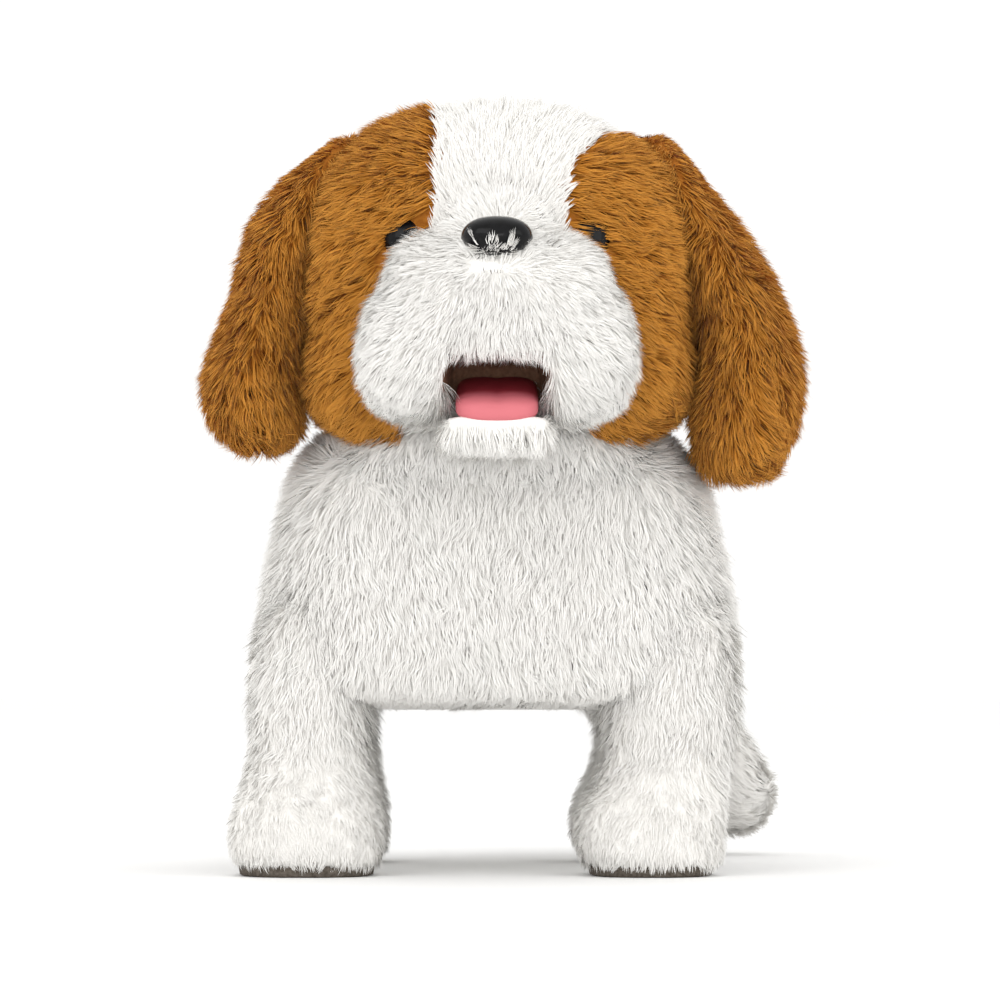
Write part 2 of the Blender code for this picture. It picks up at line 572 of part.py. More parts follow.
# --- body plush --------------------------------------------------------------------------------
def body_outline():
    """The outer skin of the torso, lofted along Y."""
    sections = [  # y, half width at mid height, low z, high z
        (-0.0680, 0.030, 0.058, 0.096),
        (-0.0660, 0.044, 0.051, 0.105),
        (-0.0600, 0.056, 0.0465, 0.112),
        (-0.0450, 0.0645, BELLY_Z, 0.118),
        (-0.0200, 0.0670, BELLY_Z, 0.121),
        (0.0100, 0.0675, BELLY_Z, 0.121),
        (0.0400, 0.0670, BELLY_Z, 0.119),
        (0.0580, 0.0620, 0.0455, 0.114),
        (0.0680, 0.0500, 0.050, 0.106),
        (0.0730, 0.0340, 0.057, 0.096),
    ]
    rings = []
    for y, half, z0, z1 in sections:
        centre = (0, y, (z0 + z1) / 2)
        points = ring(centre, (half, (z1 - z0) / 2), 4.6, 20, (1, 0, 0), (0, 0, 1))
        for p in points:
            up = max(p.z - BELLY_Z, 0.0) / (0.121 - BELLY_Z)
            p.x *= 1.02 - 0.24 * up ** 1.6
        rings.append(points)
    return loft(rings)


def head_outline(grow=0.0):
    return superellipsoid(HEAD_C, [r + grow for r in HEAD_R], 2.5, 20, 12)


def leg_recess(y):
    """The space a leg skin swings in: an arch over the hip, open below."""
    arch = [(y + 0.0213 * cos(pi * k / 10), HIP_Z + 0.0213 * sin(pi * k / 10)) for k in range(11)]
    foot = [(y - 0.0257, HIP_Z - 0.0101), (y - 0.0257, 0.0303), (y + 0.0257, 0.0303), (y + 0.0257, HIP_Z - 0.0101)]
    return prism(arch + foot, 0.0479, 0.080)


def make_body_plush(kit):
    plush = kit.add("body_plush", body_outline(), "white_plush")
    kit.cut(plush, box((-BAY_X, -0.0537, 0.0467), (BAY_X, 0.0543, 0.0951)),
            box((-0.0404, -0.0505, 0.0461), (0.0404, 0.0565, 0.1054)),
            box(mm(-30, -34, 40), mm(30, 48, 50)),
            box(mm(-17, 50, 54), mm(17, 80, 70)))
    for _, side, y in leg_places():
        kit.cut(plush, sided(leg_recess(y), side),
                sided(box((0.0403, y - 0.0128, 0.0317), (0.0493, y + 0.0128, HIP_Z + 0.0223)), side))
    kit.cut(plush, cylinder(mm(0, -38, 100), mm(0, -38, 130), 0.021, segments=12), head_outline(0.0036))


# --- head --------------------------------------------------------------------------------------
def skull_outline(grow=0.0):
    return superellipsoid(HEAD_C, [r + grow for r in SKULL_R], 2.4, 16, 8)


def mouth_cut():
    return box((-MOUTH_X, -0.135, 0.100), (MOUTH_X, -0.0560, MOUTH_TOP))


def patch_region(side, grow=0.0):
    """The space of one brown face patch: an outline seen from the front, carried back past the ear."""
    outline = [(0.0215, 0.183), (0.0195, 0.172), (0.0240, 0.150), (0.0270, 0.128), (0.0230, 0.105),
               (0.0640, 0.105), (0.0640, 0.215), (0.0330, 0.215), (0.0265, 0.197)]
    bm = bmesh.new()
    front, back = -0.125, -0.026
    middle = Vector((0.045, 0.160))
    points = []
    for x, z in outline:
        p = Vector((x, z))
        points.append(p + (p - middle).normalized() * grow)
    face = bm.faces.new([bm.verts.new((p.x, front - grow, p.y)) for p in points])
    moved = bmesh.ops.extrude_face_region(bm, geom=[face])["geom"]
    verts = [g for g in moved if isinstance(g, bmesh.types.BMVert)]
    bmesh.ops.translate(bm, verts=verts, vec=(0, back - front + 2 * grow, 0))
    bmesh.ops.recalc_face_normals(bm, faces=bm.faces)
    return sided(bm, side)


def eye_ball(side, grow=0.0):
    return sided(superellipsoid(EYE_AT, [EYE_R + grow] * 3, 2.0, 14, 8), side)


def nose_ball(grow=0.0):
    return superellipsoid(NOSE_AT, [r + grow for r in NOSE_R], 2.3, 14, 8)


def make_head(kit):
    split = HEAD_C[1] + 0.0017
    front = kit.add("skull_front", skull_outline(), "shell_plastic", "head")
    kit.cut(front, box(mm(-80, split / MM - GAP / MM / 2, 80), mm(80, 60, 240)),
            superellipsoid(HEAD_C, [r - SKULL_T for r in SKULL_R], 2.4, 16, 8),
            box((-0.018, -0.100, 0.100), (0.018, -0.040, 0.146)))
    for side in (-1, 1):
        kit.join(front, sided(box(mm(17.8, -68.5, 122), mm(21, -59.5, 134)), side))
        kit.join(front, sided(cylinder((0.0092, *JAW_PIVOT[1:]), (0.0195, *JAW_PIVOT[1:]), PIN_R, segments=12), side))
    rear = kit.add("skull_rear", skull_outline(), "shell_plastic", "head")
    kit.cut(rear, box(mm(-80, -140, 80), mm(80, split / MM + GAP / MM / 2, 240)),
            superellipsoid(HEAD_C, [r - SKULL_T for r in SKULL_R], 2.4, 16, 8),
            box(mm(-7.9, -60, 110), mm(7.9, -27, 130)))
    for side in (-1, 1):
        kit.join(rear, sided(box(mm(8.2, -43, 112), mm(11.4, -33, 128)), side))
    kit.cut(rear, bore(mm(-14, -38, 117), mm(14, -38, 117), PIN_R))

    head = kit.add("head_plush", head_outline(), "white_plush", "head")
    kit.cut(head, skull_outline(0.0004), box(mm(-12.5, -60, 100), mm(12.5, -24, 130)), mouth_cut())
    for side in (-1, 1):
        kit.cut(head, sided(box(mm(16, -68.9, 121.6), mm(21.4, -59.1, 131.3)), side))
    patches = {}
    for side, name in ((-1, "face_patch_left"), (1, "face_patch_right")):
        patches[side] = kit.add(name, head_outline(), "brown_plush", "head")
        kit.cut(patches[side], skull_outline(0.0004), mouth_cut())
        kit.cut(patches[side], patch_region(side), operation="INTERSECT")
        kit.cut(patches[side], eye_ball(side, GAP))
        kit.cut(head, patch_region(side, GAP), eye_ball(side, GAP))
        eye = kit.add("eye_left" if side < 0 else "eye_right", eye_ball(side), "black_plastic", "head")
        kit.cut(eye, skull_outline(0.0004))

    muzzle = kit.add("muzzle_plush", superellipsoid(MUZZLE_C, MUZZLE_R, 2.3, 20, 10), "white_plush", "head")
    kit.cut(muzzle, head_outline(GAP), mouth_cut(), nose_ball(GAP), eye_ball(1, GAP), eye_ball(-1, GAP))
    kit.add("nose", nose_ball(), "black_plastic", "head")
    liner = kit.add("mouth_lining", box(mm(-16.9, -112, 123.5), mm(16.9, -71.5, 143.4)), "mouth_lining", "head")
    kit.cut(liner, box(mm(-15.4, -115, 110), mm(15.4, -73, 141.8)), box(mm(-15.4, -80, 110), mm(15.4, -70, 127.5)))


def make_jaw(kit):
    core = kit.add("jaw_core", box(mm(-12.5, -104, 118.2), mm(12.5, -72, 120.7)), "shell_plastic", "jaw")
    y, z = JAW_PIVOT[1], JAW_PIVOT[2]
    for side in (-1, 1):
        kit.join(core, sided(cylinder((0.0095, y, z), (0.0125, y, z), 0.0036, segments=12), side),
                 sided(prism([(-0.078, 0.1185), (-0.070, 0.1185), (-0.0605, 0.1265), (-0.0655, 0.1303)],
                             0.0095, 0.0125), side))
    kit.cut(core, bore((-0.014, y, z), (0.014, y, z), PIN_R))
    chin = [(-0.1085, 0.0085, 0.1165, 0.1195), (-0.1060, 0.0120, 0.1135, 0.1208), (-0.0980, 0.0140, 0.1105, 0.1210),
            (-0.0880, 0.0142, 0.1095, 0.1206), (-0.0790, 0.0135, 0.1105, 0.1195), (-0.0750, 0.0110, 0.1130, 0.1180)]
    rings = []
    for cy, half, z0, z1 in chin:
        rings.append(ring((0, cy, (z0 + z1) / 2), (half, (z1 - z0) / 2), 2.6, 20, (1, 0, 0), (0, 0, 1)))
    plush = kit.add("jaw_plush", loft(rings), "white_plush", "jaw")
    kit.cut(plush, box(mm(-12.8, -104.3, 117.9), mm(12.8, -65, 126)))
    tongue = [(-0.1075, 0.0070, 0.1212, 0.1222), (-0.1050, 0.0100, 0.1212, 0.1238), (-0.0980, 0.0112, 0.1212, 0.1252),
              (-0.0900, 0.0112, 0.1212, 0.1275), (-0.0830, 0.0105, 0.1212, 0.1305), (-0.0790, 0.0080, 0.1212, 0.1290)]
    rings = []
    for cy, half, z0, z1 in tongue:
        rings.append(ring((0, cy, (z0 + z1) / 2), (half, (z1 - z0) / 2), 2.8, 18, (1, 0, 0), (0, 0, 1)))
    kit.add("tongue", loft(rings), "tongue", "jaw")


def make_ear(kit, name, side):
    """A flat hanging flap: rings across it, from the sewn top edge down to the round tip."""
    sections = [  # z, centre x, half thickness, half depth, centre y
        (0.2010, 0.0500, 0.0030, 0.0090, -0.046),
        (0.1970, 0.0530, 0.0060, 0.0150, -0.046),
        (0.1860, 0.0595, 0.0085, 0.0200, -0.047),
        (0.1720, 0.0640, 0.0095, 0.0225, -0.048),
        (0.1560, 0.0670, 0.0110, 0.0240, -0.049),
        (0.1400, 0.0685, 0.0130, 0.0245, -0.050),
        (0.1260, 0.0685, 0.0142, 0.0240, -0.051),
        (0.1160, 0.0665, 0.0130, 0.0200, -0.051),
        (0.1110, 0.0650, 0.0090, 0.0140, -0.051),
        (0.1090, 0.0645, 0.0040, 0.0070, -0.051),
    ]
    rings = []
    for z, cx, half, depth, cy in sections:
        rings.append(ring((cx, cy, z), (half, depth), 2.3, 16, (1, 0, 0), (0, 1, 0)))
    ear = kit.add(f"ear_{name}", sided(loft(rings), side), "brown_plush", f"ear_{name}")
    kit.cut(ear, head_outline(0.0008))


# --- tail --------------------------------------------------------------------------------------
def make_tail(kit):
    route = [(0.000, 0.0780, 0.0610, 0.0112), (0.001, 0.0855, 0.0635, 0.0140), (0.006, 0.0930, 0.0655, 0.0156),
             (0.016, 0.0990, 0.0655, 0.0168), (0.029, 0.1028, 0.0605, 0.0178), (0.041, 0.1038, 0.0510, 0.0182),
             (0.052, 0.1030, 0.0400, 0.0182), (0.061, 0.1010, 0.0300, 0.0180), (0.068, 0.0985, 0.0235, 0.0170),
             (0.0745, 0.0960, 0.0208, 0.0135), (0.0795, 0.0940, 0.0203, 0.0070)]
    rings = []
    for k, (x, y, z, r) in enumerate(route):
        before = Vector(route[max(k - 1, 0)][:3])
        after = Vector(route[min(k + 1, len(route) - 1)][:3])
        along = (after - before).normalized()
        side = along.cross(Vector((0, 0, 1))).normalized()
        rings.append(ring((x, y, z), (r, r), 2.0, 14, side, side.cross(along)))
    plush = kit.add("tail_plush", loft(rings), "white_plush", "tail")
    kit.cut(plush, box(mm(-3.3, 60, 58.4), mm(3.3, 90, 65.6)))
    lever = kit.add("tail_lever", box(mm(-3, 57, 58.7), mm(3, 88, 65.3)), "shell_plastic", "tail")
    kit.join(lever, cylinder(mm(0, 61.2, 58.7), mm(0, 61.2, 65.3), 0.0042, segments=12),
             box(mm(-1.5, 51.6, 60), mm(1.5, 60, 64)),
             cylinder(mm(0, 61.2, 56), mm(0, 61.2, 68), PIN_R, segments=12))


def make_pivots(kit):
    kit.pivot("crank", (0, *CRANK_AT))
    kit.pivot("middle_gear", (0, *GEAR2_AT))
    kit.pivot("first_gear", (0, *GEAR1_AT))
    kit.pivot("motor_rotor", (0, *MOTOR_AT))
    for name, side, y in leg_places():
        kit.pivot(f"leg_{name}", (side * (CORE_X + CORE_T / 2), y, HIP_Z))
    for name, side in (("left", -1), ("right", 1)):
        kit.pivot(f"rod_{name}", (side * (ROD_X + ROD_T / 2), -HIP_Y, HIP_Z + ROD_PIN_RISE))
        kit.pivot(f"ear_{name}", (side * EAR_PIVOT[0], *EAR_PIVOT[1:]))
    kit.pivot("head", NECK_PIVOT)
    kit.pivot("jaw", JAW_PIVOT)
    kit.pivot("tail", TAIL_PIVOT)
    kit.pivot("switch", mm(17.8, 42, 48))
    kit.pivot("cover", COVER_PIVOT)


def main():
    clear_scene()
    kit = Kit()
    make_pivots(kit)
    make_chassis(kit)
    make_drive(kit)
    make_gearbox(kit)
    make_electrics(kit)
    make_battery_cover(kit)
    for name, side, y in leg_places():
        make_leg(kit, name, side, y)
    for name, side in (("left", -1), ("right", 1)):
        make_rod(kit, name, side)
    make_body_plush(kit)
    make_head(kit)
    make_jaw(kit)
    for name, side in (("left", -1), ("right", 1)):
        make_ear(kit, name, side)
    make_tail(kit)


main()
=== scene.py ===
"""Plush puppy: sewn skins with a real pile of strands over the CAD chassis. Lengths are in metres."""
import json
from math import cos, pi, radians, sin

import bmesh
import bpy
import numpy as np
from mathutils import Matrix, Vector
from mathutils.kdtree import KDTree


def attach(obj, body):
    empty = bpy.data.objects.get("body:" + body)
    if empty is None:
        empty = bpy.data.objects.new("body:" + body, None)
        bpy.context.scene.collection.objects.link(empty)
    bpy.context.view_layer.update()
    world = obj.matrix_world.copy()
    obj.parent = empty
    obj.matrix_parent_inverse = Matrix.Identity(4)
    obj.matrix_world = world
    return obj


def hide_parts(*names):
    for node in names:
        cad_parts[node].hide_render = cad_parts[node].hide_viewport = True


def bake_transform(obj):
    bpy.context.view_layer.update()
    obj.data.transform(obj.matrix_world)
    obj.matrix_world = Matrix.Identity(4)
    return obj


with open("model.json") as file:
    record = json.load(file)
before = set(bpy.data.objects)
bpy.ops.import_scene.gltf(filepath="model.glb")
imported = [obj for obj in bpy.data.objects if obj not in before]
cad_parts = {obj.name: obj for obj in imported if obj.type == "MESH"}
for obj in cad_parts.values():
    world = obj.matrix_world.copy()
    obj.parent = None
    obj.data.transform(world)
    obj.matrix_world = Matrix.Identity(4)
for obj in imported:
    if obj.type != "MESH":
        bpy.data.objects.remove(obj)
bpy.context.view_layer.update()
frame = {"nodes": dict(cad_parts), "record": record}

HEAD_C = np.array([0.0, -0.052, 0.162])  # centre of the head, and its half sizes
HEAD_R = np.array([0.0505, 0.0425, 0.0453])
HEAD_POWER = 2.3  # 2 is an ellipsoid, and more is boxier
NOSE_C = np.array([0.0, -0.1108, 0.1668])
EYE_C = np.array([0.0238, -0.0846, 0.1692])
EYE_R = 0.0064
UV_NAME = "OFBake"
CAMERA_PLACE = (0.0008, -1.3, 0.055)
CAMERA_TILT = 2.13  # degrees above level
CAMERA_LENS = 166.2
WORLD_LIGHT = 1.06
HATCH_HALF = 0.0290  # the belly's opening around the battery cover: half width, front, back
HATCH_FRONT = -0.0330
HATCH_BACK = 0.0470

scene = bpy.context.scene
parts = bpy.data.collections.new("puppy")
scene.collection.children.link(parts)


# --- camera, light, floor -----------------------------------------------------------------------
def make_camera():
    data = bpy.data.cameras.new("camera")
    data.sensor_width = 36.0
    data.lens = CAMERA_LENS
    data.clip_start = 0.05
    cam = bpy.data.objects.new("camera", data)
    cam.location = CAMERA_PLACE
    cam.rotation_euler = (radians(90 + CAMERA_TILT), 0, 0)
    scene.collection.objects.link(cam)
    scene.camera = cam


def area_light(name, place, aim, size, power):
    data = bpy.data.lights.new(name, "AREA")
    data.shape = "RECTANGLE"
    data.size, data.size_y = size
    data.energy = power
    ob = bpy.data.objects.new(name, data)
    ob.location = place
    ob.rotation_euler = (Vector(aim) - Vector(place)).to_track_quat("-Z", "Y").to_euler()
    scene.collection.objects.link(ob)


def make_studio():
    scene.view_settings.view_transform = "Standard"
    area_light("key", (-0.9, -1.5, 0.9), (0, 0, 0.1), (1.2, 1.2), 8.0)
    area_light("fill", (1.2, -1.3, 0.5), (0, 0, 0.1), (1.2, 1.2), 6.5)
    area_light("front", (0.0, -1.9, 0.2), (0, 0, 0.1), (1.0, 0.6), 5.5)
    area_light("top", (0.0, 0.3, 1.6), (0, 0, 0.1), (1.6, 1.6), 2.0)
    world = bpy.data.worlds.new("studio")
    world.use_nodes = True
    sky = world.node_tree.nodes["Background"]
    sky.inputs["Color"].default_value = (1.0, 0.995, 0.985, 1)
    sky.inputs["Strength"].default_value = WORLD_LIGHT
    scene.world = world
    bm = bmesh.new()
    bmesh.ops.create_grid(bm, x_segments=1, y_segments=1, size=8)
    floor = add_mesh("floor", bm, floor_material())


# --- materials ----------------------------------------------------------------------------------
def new_material(name, roughness=0.8, metallic=0.0, sheen=0.0, coat=0.0, specular=0.5):
    mat = bpy.data.materials.new(name)
    mat.use_nodes = True
    shader = mat.node_tree.nodes["Principled BSDF"]
    shader.inputs["Roughness"].default_value = roughness
    shader.inputs["Metallic"].default_value = metallic
    shader.inputs["Sheen Weight"].default_value = sheen
    shader.inputs["Coat Weight"].default_value = coat
    shader.inputs["Coat Roughness"].default_value = 0.08
    shader.inputs["Specular IOR Level"].default_value = specular
    return mat, mat.node_tree, shader


def node(tree, kind, **values):
    n = tree.nodes.new(kind)
    for key, value in values.items():
        if key in n.inputs:
            n.inputs[key].default_value = value
        else:
            setattr(n, key, value)
    return n


def ramp(tree, source, stops):
    r = tree.nodes.new("ShaderNodeValToRGB")
    while len(r.color_ramp.elements) < len(stops):
        r.color_ramp.elements.new(0.5)
    for element, (at, colour) in zip(r.color_ramp.elements, stops):
        element.position = at
        element.color = (*colour, 1)
    tree.links.new(source, r.inputs["Fac"])
    return r.outputs["Color"]


def noise(tree, scale, detail=3.0, coordinate="Object", stretch=None):
    where = tree.nodes.new("ShaderNodeTexCoord").outputs[coordinate]
    if stretch:
        m = node(tree, "ShaderNodeMapping")
        m.inputs["Scale"].default_value = stretch
        tree.links.new(where, m.inputs["Vector"])
        where = m.outputs["Vector"]
    n = node(tree, "ShaderNodeTexNoise", Scale=scale, Detail=detail)
    tree.links.new(where, n.inputs["Vector"])
    return n.outputs["Fac"]


def bump(tree, shader, height, strength, distance):
    b = node(tree, "ShaderNodeBump", Strength=strength, Distance=distance)
    tree.links.new(height, b.inputs["Height"])
    tree.links.new(b.outputs["Normal"], shader.inputs["Normal"])


def grained(name, dark, light, scale, roughness, grain=0.15, depth=0.0002, stretch=None, metallic=0.0,
            coat=0.0, specular=0.5):
    """Two close colours mottled by noise, with a fine relief of the same grain and uneven gloss."""
    mat, tree, shader = new_material(name, roughness, metallic, coat=coat, specular=specular)
    fac = noise(tree, scale, stretch=stretch)
    tree.links.new(ramp(tree, fac, [(0.35, dark), (0.65, light)]), shader.inputs["Base Color"])
    rough = node(tree, "ShaderNodeMapRange")
    rough.inputs["To Min"].default_value = max(roughness - grain, 0.02)
    rough.inputs["To Max"].default_value = roughness + grain
    tree.links.new(noise(tree, scale * 1.7), rough.inputs["Value"])
    tree.links.new(rough.outputs["Result"], shader.inputs["Roughness"])
    bump(tree, shader, fac, 0.35, depth)
    return mat


def floor_material():
    mat, tree, shader = new_material("floor_paper", 0.9, specular=0.1)
    colour = ramp(tree, noise(tree, 3.0), [(0.3, (0.95, 0.95, 0.948)), (0.7, (0.965, 0.965, 0.963))])
    tree.links.new(colour, shader.inputs["Base Color"])
    return mat


def pile_material(name, root, middle, tip, spread):
    """One strand runs up the V of its map from root to tip, darker at the root as painted shade between the
    strands, and its U picks its own shade.
    """
    mat, tree, shader = new_material(name, 0.85, sheen=0.04, specular=0.06)
    where = node(tree, "ShaderNodeUVMap", uv_map=UV_NAME)
    split = node(tree, "ShaderNodeSeparateXYZ")
    tree.links.new(where.outputs["UV"], split.inputs["Vector"])
    # painted shade: the root colour is darker than the tip, standing in for the shade deep in the pile
    along = ramp(tree, split.outputs["Y"], [(0.0, root), (0.45, middle), (1.0, tip)])
    own = node(tree, "ShaderNodeTexNoise", Scale=60.0, Detail=1.0, noise_dimensions="1D")
    tree.links.new(split.outputs["X"], own.inputs["W"])
    shade = ramp(tree, own.outputs["Fac"], [(0.32, (spread, spread, spread)), (0.68, (1.0, 1.0, 1.0))])
    mix = node(tree, "ShaderNodeMix", data_type="RGBA", blend_type="MULTIPLY")
    mix.inputs[0].default_value = 1.0
    tree.links.new(along, mix.inputs[6])
    tree.links.new(shade, mix.inputs[7])
    tree.links.new(mix.outputs[2], shader.inputs["Base Color"])
    return mat


def backing_material(name, dark, light):
    """The knitted backing that the pile stands on."""
    mat, tree, shader = new_material(name, 0.95, specular=0.1)
    fac = noise(tree, 900.0, 2.0)
    tree.links.new(ramp(tree, fac, [(0.3, dark), (0.7, light)]), shader.inputs["Base Color"])
    bump(tree, shader, fac, 0.5, 0.0004)
    return mat


def tongue_material():
    """Pink at the tip, darkening to deep red towards the back as painted shade deep inside the mouth."""
    mat, tree, shader = new_material("tongue_velvet", 0.55, specular=0.2)
    where = node(tree, "ShaderNodeTexCoord").outputs["Object"]
    split = node(tree, "ShaderNodeSeparateXYZ")
    tree.links.new(where, split.inputs["Vector"])
    along = node(tree, "ShaderNodeMapRange")
    along.inputs["From Min"].default_value = -0.1090
    along.inputs["From Max"].default_value = -0.0800
    tree.links.new(split.outputs["Y"], along.inputs["Value"])
    # painted shade: the colour darkens towards the back of the tongue, where the mouth's shade falls
    colour = ramp(tree, along.outputs["Result"], [(0.0, (0.57, 0.150, 0.172)), (0.34, (0.55, 0.125, 0.155)),
                                                  (0.50, (0.30, 0.028, 0.042)), (1.0, (0.22, 0.018, 0.025))])
    tree.links.new(colour, shader.inputs["Base Color"])
    bump(tree, shader, noise(tree, 900.0), 0.35, 0.0001)
    return mat


# --- mesh helpers -------------------------------------------------------------------------------
def add_mesh(name, bm, mat):
    """A new piece from a bmesh, shaded smooth, in one material."""
    mesh = bpy.data.meshes.new(name)
    bmesh.ops.recalc_face_normals(bm, faces=bm.faces)
    bm.to_mesh(mesh)
    bm.free()
    mesh.shade_smooth()
    mesh.materials.append(mat)
    ob = bpy.data.objects.new(name, mesh)
    parts.objects.link(ob)
    return ob


def superellipse(centre, half, power, points, side, up):
    """A ring of points in the plane of side and up: round at power 2, boxier above it."""
    out = []
    for i in range(points):
        a = 2 * pi * i / points
        c, s = cos(a), sin(a)
        reach = (abs(c) ** power + abs(s) ** power) ** (-1 / power)
        out.append(Vector(centre) + Vector(side) * (half[0] * c * reach) + Vector(up) * (half[1] * s * reach))
    return out


def loft(rings):
    """A skin through rings of equally many points, closed by fans at both ends."""
    bm = bmesh.new()
    rows = [[bm.verts.new(p) for p in r] for r in rings]
    count = len(rows[0])
    for lower, upper in zip(rows, rows[1:]):
        for i in range(count):
            j = (i + 1) % count
            bm.faces.new((lower[i], lower[j], upper[j], upper[i]))
    for row in (rows[0], rows[-1]):
        middle = bm.verts.new(sum((v.co for v in row), Vector()) / count)
        for i in range(count):
            bm.faces.new((row[i], row[(i + 1) % count], middle))
    return bm


def eased(rows, steps):
    """Rows of numbers carried through a Catmull-Rom curve."""
    p = np.array(rows, float)
    p = np.vstack([2 * p[0] - p[1], p, 2 * p[-1] - p[-2]])
    out = []
    for k in range(1, len(p) - 2):
        for s in range(steps):
            t = s / steps
            a, b, c, d = p[k - 1:k + 3]
            out.append(0.5 * (2 * b + (c - a) * t + (2 * a - 5 * b + 4 * c - d) * t * t
                              + (3 * b - a - 3 * c + d) * t ** 3))
    out.append(p[-2])
    return np.array(out)


def ball(bm, centre, radii, power=2.2, around=40, rings=24):
    """A rounded lump added to a mesh, face by face, so that its faces have the same order in each run."""
    def point(tilt, turn):
        n = (sin(tilt) * cos(turn), sin(tilt) * sin(turn), cos(tilt))
        reach = sum(abs(c) ** power for c in n) ** (-1 / power)
        return bm.verts.new([centre[i] + radii[i] * n[i] * reach for i in range(3)])

    rows = [[point(pi * k / rings, 2 * pi * i / around) for i in range(around)] for k in range(1, rings)]
    for pole, row in ((point(0, 0), rows[0]), (point(pi, 0), rows[-1])):
        for i in range(around):
            bm.faces.new((row[i], row[(i + 1) % around], pole))
    for upper, lower in zip(rows, rows[1:]):
        for i in range(around):
            j = (i + 1) % around
            bm.faces.new((upper[i], lower[i], lower[j], upper[j]))


def modified(ob, *mods):
    """Applies modifiers given as (type, settings) and keeps the result as the object's mesh."""
    for kind, settings in mods:
        m = ob.modifiers.new(kind, kind)
        for key, value in settings.items():
            setattr(m, key, value)
    evaluated = ob.evaluated_get(bpy.context.evaluated_depsgraph_get())
    mesh = bpy.data.meshes.new_from_object(evaluated)
    ob.modifiers.clear()
    old = ob.data
    ob.data = mesh
    bpy.data.meshes.remove(old)
    mesh.shade_smooth()
    return ob


def moved(ob, change):
    """Each point goes where change, a function of an array of places, says."""
    co = np.empty(len(ob.data.vertices) * 3)
    ob.data.vertices.foreach_get("co", co)
    ob.data.vertices.foreach_set("co", change(co.reshape(-1, 3)).ravel())
    ob.data.update()
    return ob


def unit(v):
    """The same directions with length 1."""
    return v / np.maximum(np.linalg.norm(v, axis=-1, keepdims=True), 1e-9)


def waves(p, scale, seed):
    """Three smooth wandering values for each place, between about -1 and 1."""
    rng = np.random.default_rng(seed)
    out = np.zeros((len(p), 3))
    for k in range(5):
        turn = rng.normal(size=(3, 3)) * scale * (1 + 0.6 * k)
        out += np.sin(p @ turn + rng.uniform(0, 2 * pi, 3)) / (1 + 0.5 * k)
    return out / 2.2


# --- the pile -----------------------------------------------------------------------------------
def sampled(skin, count, rng):
    """Places and normals spread evenly over a skin."""
    mesh = skin.data
    mesh.calc_loop_triangles()
    tri = np.empty(len(mesh.loop_triangles) * 3, np.int32)
    mesh.loop_triangles.foreach_get("vertices", tri)
    tri = tri.reshape(-1, 3)
    co = np.empty(len(mesh.vertices) * 3)
    mesh.vertices.foreach_get("co", co)
    co = co.reshape(-1, 3)
    no = np.empty(len(mesh.vertices) * 3)
    mesh.vertices.foreach_get("normal", no)
    no = no.reshape(-1, 3)
    a, b, c = co[tri[:, 0]], co[tri[:, 1]], co[tri[:, 2]]
    area = np.linalg.norm(np.cross(b - a, c - a), axis=1)
    pick = rng.choice(len(tri), size=count, p=area / area.sum())
    u, v = rng.random((2, count, 1))
    flip = (u + v) > 1
    u, v = np.where(flip, 1 - u, u), np.where(flip, 1 - v, v)
    w = 1 - u - v
    places = w * a[pick] + u * b[pick] + v * c[pick]
    t = tri[pick]
    return places, unit(w * no[t[:, 0]] + u * no[t[:, 1]] + v * no[t[:, 2]])


def nearest(points, centres):
    """For each point, which centre is the closest."""
    tree = KDTree(len(centres))
    for i, c in enumerate(centres):
        tree.insert(c, i)
    tree.balance()
    return np.array([tree.find(p)[1] for p in points])


